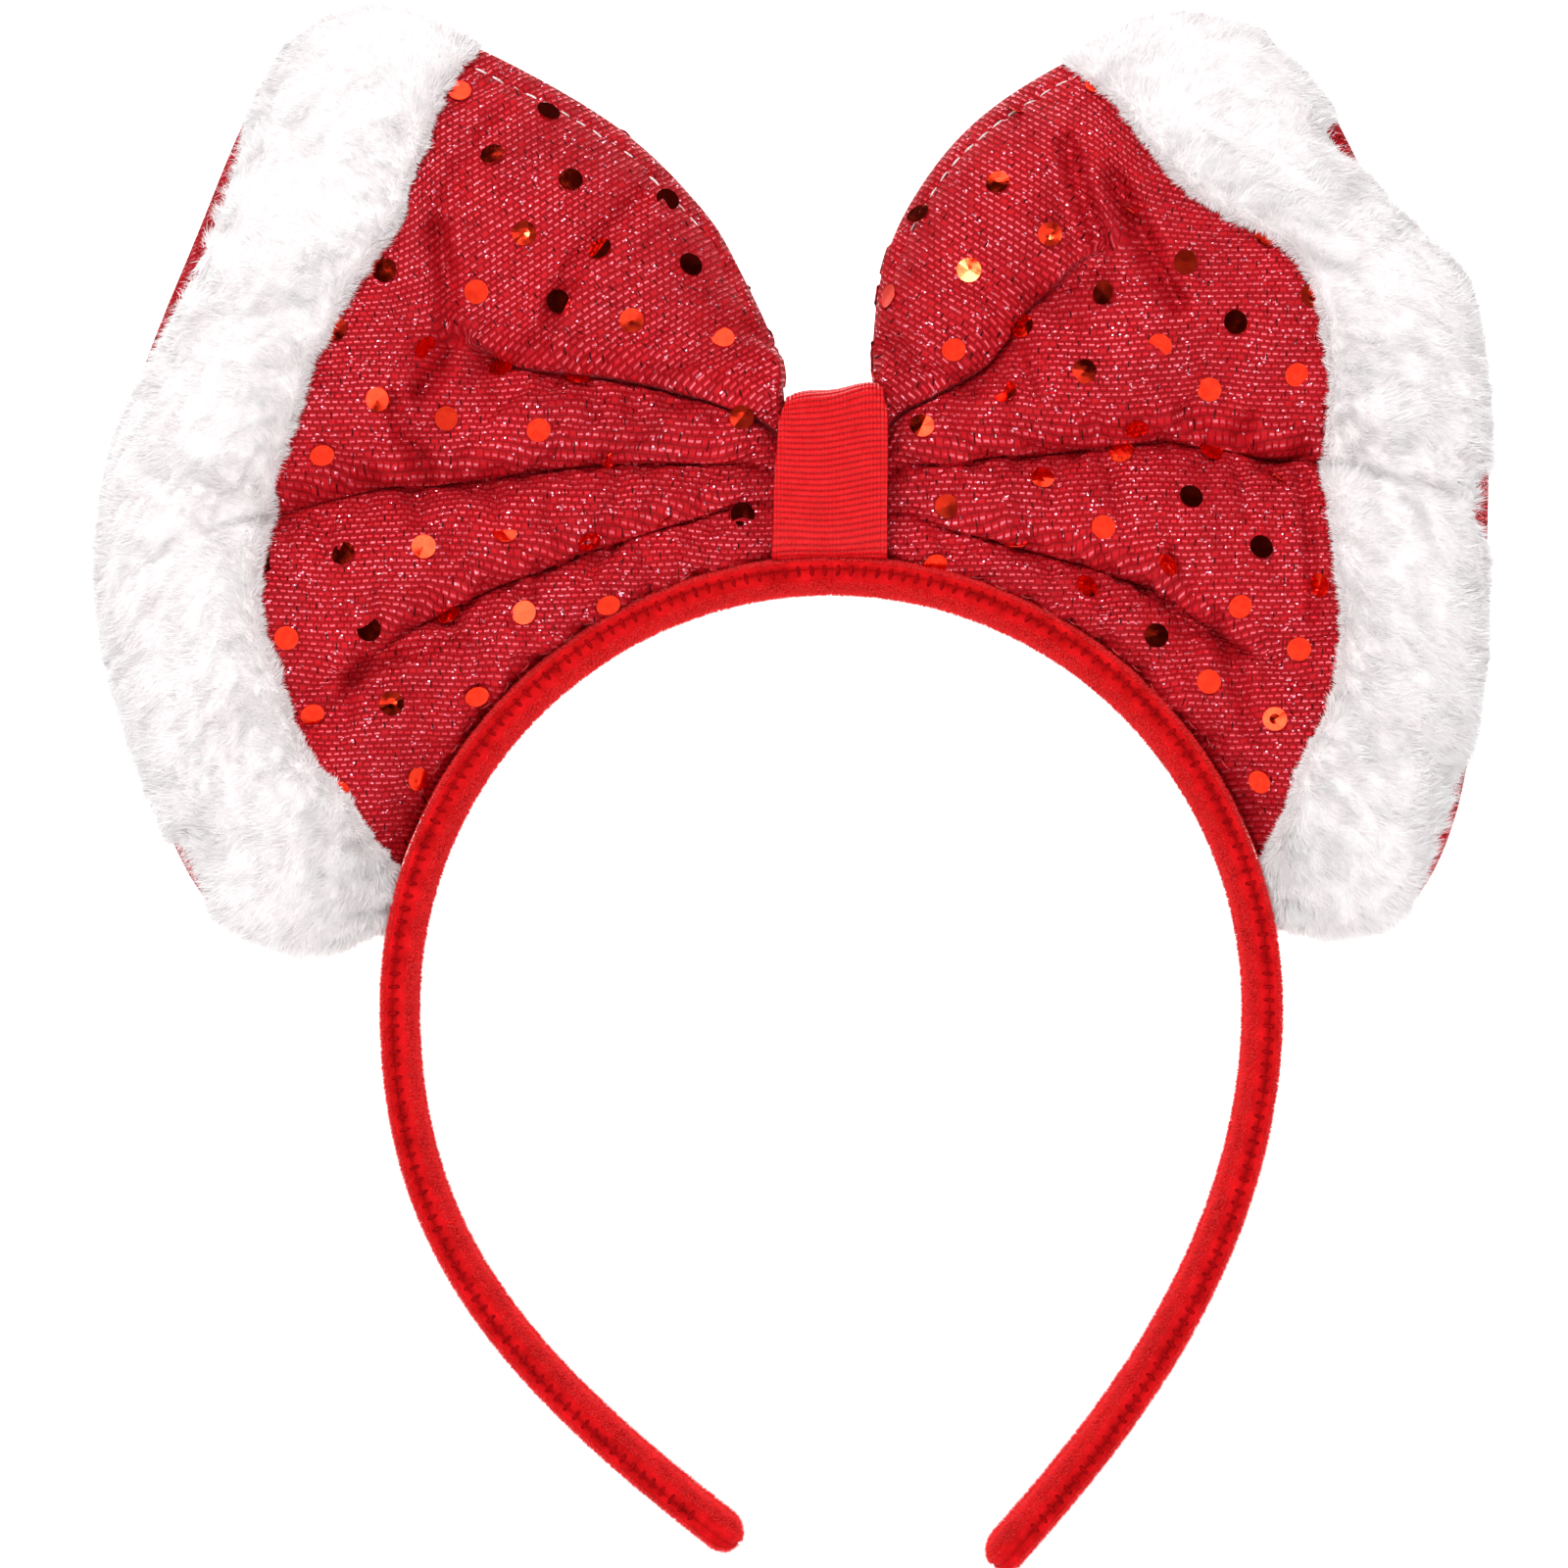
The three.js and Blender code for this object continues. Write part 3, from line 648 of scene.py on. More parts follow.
# ---- materials -----------------------------------------------------------------------------------
class Shader:
    """A Principled material with short helpers for its nodes."""

    def __init__(self, name, **sockets):
        self.material = bpy.data.materials.new(name)
        self.material.use_nodes = True
        self.nodes = self.material.node_tree.nodes
        self.links = self.material.node_tree.links
        self.surface = self.nodes["Principled BSDF"]
        for key, value in sockets.items():
            self.surface.inputs[key.replace("_", " ")].default_value = value

    def node(self, kind, inputs=None, **settings):
        node = self.nodes.new(kind)
        for key, value in settings.items():
            setattr(node, key, value)
        for key, value in (inputs or {}).items():
            if isinstance(value, bpy.types.NodeSocket):
                self.links.new(value, node.inputs[key])
            else:
                node.inputs[key].default_value = value
        return node

    def math(self, operation, a, b=0.5, clamp=False):
        return self.node("ShaderNodeMath", {0: a, 1: b}, operation=operation, use_clamp=clamp).outputs[0]

    def plus(self, a, b):
        return self.math("ADD", a, b)

    def minus(self, a, b):
        return self.math("SUBTRACT", a, b)

    def times(self, a, b):
        return self.math("MULTIPLY", a, b)

    def ramp(self, factor, *stops):
        node = self.node("ShaderNodeValToRGB", {"Fac": factor})
        while len(node.color_ramp.elements) < len(stops):
            node.color_ramp.elements.new(0.5)
        for element, (place, colour) in zip(node.color_ramp.elements, stops):
            element.position = place
            element.color = (*colour, 1)
        return node.outputs["Color"]

    def grey_ramp(self, factor, *stops):
        return self.ramp(factor, *[(place, (value,) * 3) for place, value in stops])

    def mix(self, factor, a, b):
        node = self.node("ShaderNodeMix", data_type="RGBA")
        for key, value in ((0, factor), (6, a), (7, b)):
            if isinstance(value, bpy.types.NodeSocket):
                self.links.new(value, node.inputs[key])
            else:
                node.inputs[key].default_value = value if key == 0 else (*value, 1)
        return node.outputs[2]

    def noise(self, scale, detail, vector=None):
        """Noise over a vector, or over the object's own metres."""
        if vector is None:
            vector = self.node("ShaderNodeTexCoord").outputs["Object"]
        inputs = {"Scale": scale, "Detail": detail, "Vector": vector}
        return self.node("ShaderNodeTexNoise", inputs).outputs["Fac"]

    def uv(self):
        return self.node("ShaderNodeUVMap", uv_map="cloth").outputs["UV"]

    def bump(self, height, strength, distance):
        node = self.node("ShaderNodeBump", {"Strength": strength, "Distance": distance, "Height": height})
        self.plug("Normal", node.outputs["Normal"])

    def plug(self, socket, output):
        self.links.new(output, self.surface.inputs[socket])


def cells(m, u, v, pitch_u, pitch_v, shift):
    """A grid of cells: centred places in them, and a random number for each. shift slides each row."""
    across = m.math("DIVIDE", v, pitch_v)
    row = m.math("FLOOR", across)
    slide = m.times(row, shift)
    along = m.plus(m.math("DIVIDE", u, pitch_u), slide)
    column = m.math("FLOOR", along)
    both = m.node("ShaderNodeCombineXYZ", {"X": column, "Y": row}).outputs[0]
    chance = m.node("ShaderNodeTexWhiteNoise", {"Vector": both}, noise_dimensions="2D").outputs["Value"]
    place_u = m.math("ABSOLUTE", m.minus(m.minus(along, column), 0.5))
    place_v = m.math("ABSOLUTE", m.minus(m.minus(across, row), 0.5))
    return place_u, place_v, chance


def dashes(m, u, v, pitch, shift, half_u, half_v, share):
    """1 on short dashes, one in each cell of a sliding grid; only some cells have one."""
    place_u, place_v, chance = cells(m, u, v, *pitch, shift)
    inside = m.times(m.math("LESS_THAN", place_u, half_u), m.math("LESS_THAN", place_v, half_v))
    return m.times(inside, m.math("LESS_THAN", chance, share)), chance


LOOP = (1.12, 0.92)  # width and height of one loop of the knit


def spangled_cloth_material():
    """Crimson knit: fine courses, pale metallic dashes, scattered dark dashes, small glints, painted shade
    between loops.
    """
    m = Shader("spangled cloth", Roughness=0.55, Specular_IOR_Level=0.12)
    flat = m.uv()
    wave = m.noise(0.05, 1, flat)
    fine_wave = m.noise(0.6, 1, flat)
    split = m.node("ShaderNodeSeparateXYZ", {0: flat})
    drift = m.plus(m.times(wave, 2.4), m.times(fine_wave, 0.25))
    u = m.plus(split.outputs["X"], m.times(fine_wave, 0.3))
    v = m.plus(split.outputs["Y"], drift)
    knit_u, knit_v, shade = cells(m, u, v, *LOOP, 0.5)
    side_gap = m.math("POWER", m.times(knit_u, 2.0), 5.0)
    row_gap = m.math("POWER", m.times(knit_v, 2.0), 2.0)
    shaded_loop_gap = m.math("MAXIMUM", side_gap, row_gap)
    lurex, glow = dashes(m, u, v, LOOP, 0.5, 0.33, 0.12, 0.93)
    dark, _ = dashes(m, v, u, (3.1, 1.45), 0.41, 0.13, 0.075, 0.5)
    glint, _ = dashes(m, u, v, (0.38, 0.3), 0.29, 0.4, 0.36, 0.03)
    patch = m.noise(0.12, 2, flat)
    body = m.ramp(patch, (0.3, (0.44, 0.002, 0.007)), (0.7, (0.64, 0.005, 0.012)))
    # painted shade: the gaps between the knit's loops are painted near black
    body = m.mix(m.times(shaded_loop_gap, 0.8), body, (0.13, 0.0, 0.002))
    body = m.mix(m.times(shade, 0.25), body, (0.72, 0.02, 0.035))
    pale = m.ramp(glow, (0.1, (0.74, 0.035, 0.06)), (0.9, (0.98, 0.24, 0.31)))
    body = m.mix(m.times(lurex, 0.7), body, pale)
    body = m.mix(glint, body, (0.98, 0.45, 0.58))
    m.plug("Base Color", m.mix(m.times(dark, 0.9), body, (0.03, 0.0, 0.001)))
    metal = m.math("ADD", m.times(lurex, 0.6), glint, clamp=True)
    m.plug("Metallic", metal)
    m.plug("Roughness", m.minus(0.6, m.times(metal, 0.38)))
    wobble = m.times(m.noise(2.2, 1, flat), 1.3)
    height = m.minus(m.plus(wobble, m.times(lurex, 0.5)), shaded_loop_gap)
    m.bump(m.minus(height, dark), 1.0, 0.00016)
    return m.material


def velvet_material():
    """The ground under the pile."""
    m = Shader("velvet", Roughness=0.9, Specular_IOR_Level=0.08, Sheen_Weight=0.3, Sheen_Roughness=0.4)
    m.surface.inputs["Sheen Tint"].default_value = (1, 0.05, 0.06, 1)
    patch = m.noise(350.0, 3)
    m.plug("Base Color", m.ramp(patch, (0.3, (0.42, 0.002, 0.003)), (0.7, (0.72, 0.006, 0.009))))
    m.bump(m.noise(2600.0, 2), 0.6, 0.0002)
    return m.material


def pile_material(name, shaded_root, tip, roughness, sheen, tint, specular):
    """Fibres with painted shade at their roots, lighter towards their tips."""
    m = Shader(name, Roughness=roughness, Specular_IOR_Level=specular, Sheen_Weight=sheen)
    m.surface.inputs["Sheen Tint"].default_value = (*tint, 1)
    along = m.node("ShaderNodeSeparateXYZ", {0: m.uv()}).outputs["Y"]
    # painted shade: each fibre is darker at its root, where the pile shades it
    colour = m.ramp(along, (0.0, shaded_root), (0.75, tip))
    patch = m.grey_ramp(m.noise(170.0, 3), (0.42, 0.0), (0.68, 1.0))
    m.plug("Base Color", m.mix(m.times(patch, 0.4), colour, shaded_root))
    return m.material


def ribbon_material():
    """Grosgrain: fine warp threads over the ribs, which are in the mesh, and painted shade in the grooves
    between the ribs.
    """
    m = Shader("grosgrain", Roughness=0.3, Specular_IOR_Level=0.2)
    flat = m.uv()
    split = m.node("ShaderNodeSeparateXYZ", {0: flat})
    thread = m.math("SINE", m.times(split.outputs["X"], 2 * math.pi / WARP_PITCH), 0.0)
    rib = m.math("COSINE", m.times(split.outputs["Y"], 2 * math.pi / RIB_PITCH), 0.0)
    groove_shade = m.times(m.plus(rib, 1.0), 0.5)
    patch = m.noise(0.3, 3, flat)
    body = m.ramp(patch, (0.3, (0.76, 0.005, 0.008)), (0.7, (0.90, 0.009, 0.014)))
    # painted shade: the grooves between the ribs are painted darker
    body = m.mix(m.times(m.math("POWER", groove_shade, 2.0), 0.8), body, (0.36, 0.0, 0.002))
    weft = m.times(m.plus(thread, 1.0), 0.12)
    m.plug("Base Color", m.mix(weft, body, (0.45, 0.001, 0.004)))
    m.bump(thread, 0.7, 0.0001)
    return m.material


def thread_material(name, colour, dark, roughness=0.35, specular=0.5):
    """Twisted thread."""
    m = Shader(name, Roughness=roughness, Specular_IOR_Level=specular)
    twist = m.noise(2200.0, 1)
    m.plug("Base Color", m.ramp(twist, (0.35, dark), (0.6, colour)))
    m.bump(twist, 0.5, 0.0001)
    return m.material


def sequin_material():
    """Mirror film stained orange-red, with faint scuffs."""
    m = Shader("spangle film", Metallic=1.0, Roughness=0.1, Coat_Weight=0.1)
    scuff = m.noise(900.0, 3)
    m.plug("Base Color", m.ramp(scuff, (0.35, (0.85, 0.026, 0.007)), (0.7, (0.95, 0.045, 0.014))))
    m.plug("Roughness", m.grey_ramp(scuff, (0.3, 0.05), (0.75, 0.16)))
    return m.material


def grained_material(name, low, high, scale, roughness=0.9, bump=0.6):
    """A plain material with a mottled colour and a fine grain."""
    m = Shader(name, Roughness=roughness)
    grain = m.noise(scale, 4)
    m.plug("Base Color", m.ramp(grain, (0.3, low), (0.7, high)))
    m.bump(grain, bump, 0.0004)
    return m.material


cloth = spangled_cloth_material()
velvet = velvet_material()
# the first colour of each pile is painted shade at the fibres' roots
velvet_pile = pile_material("velvet pile", (0.66, 0.004, 0.006), (1.0, 0.03, 0.035),
                            0.7, 0.8, (1, 0.2, 0.2), 0.1)
seam_red = thread_material("seam thread", (0.38, 0.002, 0.004), (0.22, 0.001, 0.002), 0.9, 0.05)
plush_base = grained_material("plush ground", (0.84, 0.78, 0.79), (0.92, 0.89, 0.89), 900.0)
plush_pile = pile_material("plush pile", (0.95, 0.885, 0.895), (0.99, 0.98, 0.98),
                           0.6, 0.5, (1, 1, 1), 0.4)
grosgrain = ribbon_material()
white_thread = thread_material("white thread", (0.92, 0.88, 0.86), (0.55, 0.48, 0.46))
red_thread = thread_material("red thread", (0.62, 0.02, 0.03), (0.22, 0.004, 0.006))
film = sequin_material()
fibre_fill = grained_material("fibre fill", (0.78, 0.76, 0.72), (0.92, 0.91, 0.88), 700.0)


# ---- the bow's cloth -----------------------------------------------------------------------------
CLOTH_THICKNESS = 0.45
PADDING_GAP = 0.35  # between the wadding and the cloth
S_STEPS, V_STEPS, WAIST_STEPS = 146, 166, 8


def layer_points(facing):
    """The whole layer, left end to right end, through the gathered waist, and its weave."""
    s = np.linspace(0, 1, S_STEPS)
    points, weaves = [], []
    for lobe in (lobes["left"], lobes["right"]):
        rows = lobe.rows(s, V_STEPS, facing)
        columns = np.broadcast_to(s[:, None], rows.shape)
        points.append(lobe.point(columns, rows, facing))
        weaves.append(lobe.weave(columns, rows))
    share = np.linspace(0, 1, WAIST_STEPS + 2)[1:-1, None, None]
    joined = []
    for left, right in (points, weaves):
        waist = lerp(left[0][None], right[0][None], share)
        joined.append(np.concatenate([left[::-1], waist, right]))
    # the thread holds the waist to its own height
    held = joined[0][S_STEPS:S_STEPS + WAIST_STEPS]
    pinch = np.sin(math.pi * share[..., 0])
    held[..., 2] = lerp(held[..., 2], np.clip(held[..., 2], WAIST_LOW + 0.1, WAIST_HIGH - 0.1), pinch)
    return joined


def skin_normals(points):
    """Unit normals of a grid of points."""
    along = np.gradient(points, axis=0)
    across = np.gradient(points, axis=1)
    return unit(np.cross(along, across))


def build_layer(name, facing, replaced):
    """One layer of the bow's cloth, as a skin with a thickness."""
    outer, grain = layer_points(facing)
    inward = skin_normals(outer)
    inward *= -np.sign(inward[..., 1:2] * facing + 1e-9)
    inward = unit(inward + np.array([0, -facing * 0.6, 0]))
    inner = outer + inward * CLOTH_THICKNESS
    inner[..., 1] = facing * np.maximum(inner[..., 1] * facing, 0.05)
    piece = shell(name, outer, inner, cloth, grain, flip=facing > 0)
    on_crown(piece, "spangled_cloth", replaced)


build_layer("bow_front_cloth", -1, "bow_front_panel")
build_layer("bow_back_cloth", 1, "bow_back_panel")


def build_padding(lobe):
    """The wadding, from just under the front cloth to just under the back cloth."""
    s = np.linspace(0.03, 0.98, 90)[:, None]
    v = np.linspace(0.02, 0.97, 110)[None, :]
    faces = []
    for facing in (-1, 1):
        at = lobe.point(s, v, facing)
        depth = np.abs(at[..., 1])
        # the deepest cloth nearby sets the wadding's own depth
        near = depth.copy()
        for _ in range(3):
            padded = np.pad(near, 1, mode="edge")
            high, wide = near.shape
            windows = [padded[i:i + high, j:j + wide] for i in range(3) for j in range(3)]
            near = np.minimum.reduce(windows)
        at[..., 1] = facing * np.maximum(near - CLOTH_THICKNESS - PADDING_GAP, 0.05)
        faces.append(at)
    piece = shell(f"{lobe.name}_padding", faces[0], faces[1], fibre_fill, flip=lobe.side < 0)
    on_crown(piece, "wadding", f"{lobe.name}_wadding")


for lobe in lobes.values():
    build_padding(lobe)


# ---- spangles ------------------------------------------------------------------------------------
SPANGLE_RADIUS = 1.85
SPANGLE_HALF_THICKNESS = 0.05
SPANGLE_SPAN = 108.0  # millimetres in the whole of s, as the spangles take it
SPANGLE_STRAY = 0.45  # spread of the places round their lattice
SPANGLE_UNEVEN = 2.4  # on cloth that rises more than this under a disc, there is none
RING = np.stack([np.cos(np.linspace(0, 2 * math.pi, 20, endpoint=False)),
                 np.sin(np.linspace(0, 2 * math.pi, 20, endpoint=False))], -1)


def spangle_places(lobe, rng, facing):
    """Lattice points over one lobe as [s, v], on the cloth that shows."""
    s, v = np.meshgrid(np.arange(0.02, 0.99, 0.01), np.arange(0.01, 0.995, 0.01), indexing="ij")
    share = np.stack([s.ravel(), v.ravel()], -1)
    at = lobe.at(s, v).reshape(-1, 2)
    out = []
    for zone, (origin, first, second) in enumerate(lobe.lattices):
        i, j = np.meshgrid(np.arange(-20, 21), np.arange(-20, 21), indexing="ij")
        points = np.array(origin) + i[..., None] * np.array(first) + j[..., None] * np.array(second)
        points = points.reshape(-1, 2) + rng.normal(0, SPANGLE_STRAY, (i.size, 2))
        for point in points:
            gap = np.linalg.norm(at - point, axis=1)
            near = share[gap.argmin()]
            above = near[1] > lobe.fold_line(lobe.folds[1], near[0])
            covered = facing < 0 and near[0] > lobe.plush_edge(near[1]) + 0.02
            if gap.min() < 0.9 and above == (zone == 0) and not covered:
                out.append(near)
    return out


def seat_on_cloth(lobe, s, v, facing):
    """A plane over the patch of cloth under a disc: centre, normal, and how uneven the patch is."""
    reach_s = SPANGLE_RADIUS / SPANGLE_SPAN
    reach_v = SPANGLE_RADIUS / lobe.height(np.array(s))
    ring_s = np.clip(s + reach_s * np.append(RING[:, 0], 0), 0, 1)
    ring_v = np.clip(v + reach_v * np.append(RING[:, 1], 0), 0, 1)
    patch = lobe.point(ring_s, ring_v, facing)
    centre = patch.mean(0)
    normal = np.linalg.svd(patch - centre)[2][2]
    normal *= np.sign(normal[1] * facing)
    rise = (patch - centre) @ normal
    return centre + normal * np.quantile(rise, 0.85), normal, rise.max() - rise.min()


def disc_points(centre, normal, rng):
    """One disc of film, a little tilted and a little dished or creased."""
    loose = 0.09 if rng.random() < 0.8 else 0.3
    normal = unit(normal + rng.normal(0, loose, 3))
    across = unit(np.cross(normal, unit(rng.normal(size=3))))
    up = np.cross(normal, across)
    centre = centre + normal * (0.16 + 0.8 * loose)
    dish = rng.normal(0, 0.035)
    crease = 0.22 * rng.random() if rng.random() < 0.35 else 0.0
    side_on = RING @ unit(rng.normal(size=2))
    fold_at = rng.uniform(-0.5, 0.5)
    rise = dish * RING[:, 0] ** 2 + crease * np.maximum(side_on - fold_at, 0)
    rim = SPANGLE_RADIUS * (RING[:, :1] * across + RING[:, 1:] * up + rise[:, None] * normal)
    half = normal * SPANGLE_HALF_THICKNESS
    inner = rim * 0.45 + normal * crease * SPANGLE_RADIUS * 0.1
    return np.vstack([centre + rim + half, centre + inner + half, centre + rim - half,
                      [centre + half], [centre - half]])


def disc_faces():
    """The triangles of one disc: its face in two rings, its back as a fan, and its rim."""
    sides = len(RING)
    k = np.arange(sides)
    n = (k + 1) % sides
    hub, back_hub = np.full(sides, 3 * sides), np.full(sides, 3 * sides + 1)
    triangles = (
        (k, n, n + sides), (k, n + sides, k + sides), (k + sides, n + sides, hub),
        (n + 2 * sides, k + 2 * sides, back_hub),
        (n, k, k + 2 * sides), (n, k + 2 * sides, n + 2 * sides),
    )
    return np.vstack([np.stack(triangle, -1) for triangle in triangles])


def build_spangles(name, facing, seed):
    """Thin film discs that lie on one face of the bow, wherever the cloth is even enough."""
    rng = np.random.default_rng(seed)
    discs = []
    for lobe in lobes.values():
        for s, v in spangle_places(lobe, rng, facing):
            centre, normal, uneven = seat_on_cloth(lobe, s, v, facing)
            if uneven <= SPANGLE_UNEVEN:
                discs.append(disc_points(centre, normal, rng))
    faces = np.vstack([disc_faces() + number * len(discs[0]) for number in range(len(discs))])
    on_crown(make_mesh(name, np.vstack(discs), faces, film, shade_smooth=False))


build_spangles("front_spangles", -1, SEED + 1)
build_spangles("back_spangles", 1, SEED + 2)

# ---- plush ends ----------------------------------------------------------------------------------
PLUSH_BODY = 3.4  # of the dense ground, under the loose tips
PLUSH_SEAT = 0.35  # from the cloth's middle to the ground's underside
PLUSH_OVERHANG = 0.7
PLUSH_CORNER = 2.2  # how far its corners are rounded off
PLUSH_INSET = 3.0  # how far it stops short at the bare places
PILE_LENGTH = 2.0
PILE_WIDTH = 0.11
STRANDS_PER_SIDE = 124000
STRANDS_PER_PIECE = 62000


def plush_surface(lobe, a, v, lift):
    """a runs from the plush's inner edge (0) to the bow's end (1); lift is its height off the cloth."""
    edge = lobe.plush_edge(v)
    s = lerp(edge, 1.0, a)
    at = lobe.point(np.clip(s, 0, 1), v, -1)
    lumps = 0.9 * lobe.grain(a * 3 + 30, v * 12) + 0.6 * lobe.crumple(a * 7 + 3, v * 30)
    across_round = np.sqrt(np.clip(1 - np.abs(2 * a - 1) ** 3.2, 0, 1))
    rounding = across_round * np.sqrt(np.clip(1 - (2 * v - 1) ** 16, 0, 1))
    at = at.copy()
    at[..., 1] -= PLUSH_SEAT + (lift * (0.12 + 0.88 * rounding) + lumps * rounding) * (lift > 0)
    out = unit(lobe.at(np.ones_like(a), v) - lobe.at(np.full_like(a, 0.9), v))
    reach = PLUSH_OVERHANG + 0.5 * lobe.crumple(v * 9 + 40, v * 2)
    reach = reach - PLUSH_CORNER * (2 * v - 1) ** 14 - PLUSH_INSET * lobe.bareness(v)
    push = reach * smooth(a, 0.6, 1)
    at[..., 0] += out[..., 0] * push
    at[..., 2] += out[..., 1] * push + 1.6 * np.sin(math.pi * a) * smooth(v, 0.93, 1)
    return at


def pile_roots(lobe, rng, count):
    """Random places on the strip, with extra ones round its edges where the pile shows its length."""
    edges = count // 3
    a = np.concatenate([rng.uniform(0, 1, count - edges), rng.beta(0.3, 0.3, edges)])
    v = np.concatenate([rng.beta(0.35, 0.35, edges // 2), rng.uniform(0, 1, count - edges // 2)])
    return np.clip(a, 0, 1), np.clip(v, 0, 1)


def build_pile(lobe, name, count, seed):
    """Combed fibres over the plush's ground, tufted, and spilling over its edges."""
    rng = np.random.default_rng(seed)
    a, v = pile_roots(lobe, rng, count)
    step = 0.004
    roots = plush_surface(lobe, a, v, PLUSH_BODY * 0.85)
    along = (plush_surface(lobe, np.clip(a + step, 0, 1), v, PLUSH_BODY)
             - plush_surface(lobe, np.clip(a - step, 0, 1), v, PLUSH_BODY))
    up = (plush_surface(lobe, a, np.clip(v + step, 0, 1), PLUSH_BODY)
          - plush_surface(lobe, a, np.clip(v - step, 0, 1), PLUSH_BODY))
    normal = unit(np.cross(along, up))
    normal *= np.sign(-normal[:, 1:2] + 1e-9)
    outward, up = unit(along), unit(up)
    held_back = (1 - 0.8 * lobe.bareness(v) * (a > 0.6))[:, None]
    spill = outward * ((a - 0.5) * 2)[:, None] ** 5 * held_back + up * ((v - 0.5) * 2)[:, None] ** 15
    swirl = lobe.grain(a * 7, v * 26)[:, None]
    tuft = lobe.crumple(a * 20 + 50, v * 80 + 9)[:, None]
    comb = unit(outward * 0.8 * held_back + up * (0.5 + 0.5 * swirl) - np.array([0, 0, 0.25]))
    inner_edge = np.exp(-a / 0.05)[:, None]
    lean = comb * (1 - inner_edge) + normal * 0.4 * inner_edge
    direction = unit(normal * 0.5 + spill * 0.75 + lean * 0.75 + up * tuft * 0.4 + outward * swirl * 0.25
                     + rng.normal(0, 0.2, (count, 3)))
    lengths = PILE_LENGTH * rng.uniform(0.55, 1.15, count) * (1 + 0.35 * tuft[:, 0])
    lengths *= 1 - 0.35 * inner_edge[:, 0]
    bend = unit(comb + up * tuft + rng.normal(0, 0.4, (count, 3)))
    on_crown(strands(name, roots, direction, lengths, PILE_WIDTH, bend, plush_pile, seed + 1), "plush")


def build_plush(lobe):
    """The plush strip at one end of the bow: its ground, and its pile in a few pieces."""
    a, v = np.meshgrid(np.linspace(0, 1, 60), np.linspace(0, 1, 260), indexing="ij")
    outer = plush_surface(lobe, a, v, PLUSH_BODY)
    inner = plush_surface(lobe, a, v, 0.0)
    piece = shell(f"{lobe.name}_plush", outer, inner, plush_base, flip=lobe.side < 0)
    on_crown(piece, "plush", f"{lobe.name}_fur_trim")
    pieces = math.ceil(STRANDS_PER_SIDE / STRANDS_PER_PIECE)
    count = STRANDS_PER_SIDE // pieces
    for number in range(pieces):
        seed = SEED + 50 * (number + 1) + 10 * lobe.side
        build_pile(lobe, f"{lobe.name}_pile_{number + 1}", count, seed)


for lobe in lobes.values():
    build_plush(lobe)


# ---- stitches ------------------------------------------------------------------------------------
def stitch_run(name, starts, ends, normals, radius, material, arch_height=0.22):
    """Short arched stitches, each a thin closed tube between two points."""
    sides, stations = 6, 7
    t = np.linspace(0, 1, stations)[:, None]
    arch = np.sin(math.pi * t)
    girth = radius * np.clip(np.sin(math.pi * np.clip(t, 0.06, 0.94)) * 2.2, 0, 1)
    angle = np.arange(sides) / sides * 2 * math.pi
    verts, faces = [], []
    for start, end, normal in zip(starts, ends, normals):
        side = unit(np.cross(end - start, normal))
        spine = lerp(start, end, t) + normal * (arch * arch_height - 0.1)
        ring = np.cos(angle)[:, None] * side + np.sin(angle)[:, None] * normal
        tube = spine[:, None] + girth[:, None] * ring
        base = len(verts) * stations * sides
        verts.append(tube.reshape(-1, 3))
        faces.append(grid_faces(stations, sides, wrap_columns=True, start=base))
        for cap, turn in ((0, 1), (stations - 1, -1)):
            c = base + cap * sides + np.arange(sides)[::turn]
            faces.append(np.array([[c[0], c[1], c[2], c[3]], [c[0], c[3], c[4], c[5]]]))
    return make_mesh(name, np.vstack(verts), np.vstack(faces), material)


def stitches_on(lobe, rows, name, pitch, share, radius, material, slot, replaced):
    """Stitches along a line of [s, v] on the front cloth."""
    run = Path(lobe.point(rows[:, 0], rows[:, 1]))
    count = int(run.length / pitch)
    begin = (np.arange(count) + 0.5 - share / 2) * pitch
    finish = begin + share * pitch
    s, v = (np.interp(begin, run.run, rows[:, k]) for k in (0, 1))
    normal = lobe.front_normal(s, v)
    starts, ends = run.at(begin / run.length), run.at(finish / run.length)
    on_crown(stitch_run(name, starts, ends, normal, radius, material), slot, replaced)


for lobe in lobes.values():
    s = np.linspace(0.3, lobe.plush_edge(1.0) + 0.01, 300)
    hem_rows = np.stack([s, 1 - HEM / lobe.height(s)], -1)
    stitches_on(lobe, hem_rows, f"{lobe.name}_topstitch", 2.9, 0.8, 0.19, white_thread, "white_thread",
                f"{lobe.name}_top_stitching")
    s = np.linspace(0.12, 0.8, 300)
    band_rows = np.stack([s, 1.6 / lobe.height(s)], -1)
    stitches_on(lobe, band_rows, f"{lobe.name}_bandstitch", 4.2, 0.55, 0.15, red_thread, "red_thread",
                f"{lobe.name}_band_stitching")
    v = np.linspace(0.04, 0.96, 300)
    plush_rows = np.stack([lobe.plush_edge(v) + 0.012, v], -1)
    stitches_on(lobe, plush_rows, f"{lobe.name}_plushstitch", 3.4, 0.6, 0.15, white_thread, "white_thread",
                f"{lobe.name}_fur_stitching")


# ---- the knot ------------------------------------------------------------------------------------
KNOT_LOW = 6.25  # height of the ribbon's middle line where it passes over the band
KNOT_EDGES = dict(  # the ribbon's left and right edges, as [z, x]
    left=[(6, -9.1), (13, -8.8), (20, -8.5), (26, -8.0), (29, -7.2), (31.5, -6.6)],
    right=[(6, 8.5), (13, 8.4), (20, 8.6), (26.7, 8.6), (29.9, 7.8), (31.5, 6.4)],
)
SELVEDGE = 1.2  # width of the smooth edge beside the ribs
SELVEDGE_HEIGHT = 0.13
RIB_HEIGHT = 0.3
RIBBON_HALF_THICKNESS = 0.28
RIBBON_SAG = 0.3  # how much further out its middle lies than its edges
RIBBON_INSET = (0.5, 0.6)  # of its middle line from the frame's ribbon, at the front and at the top


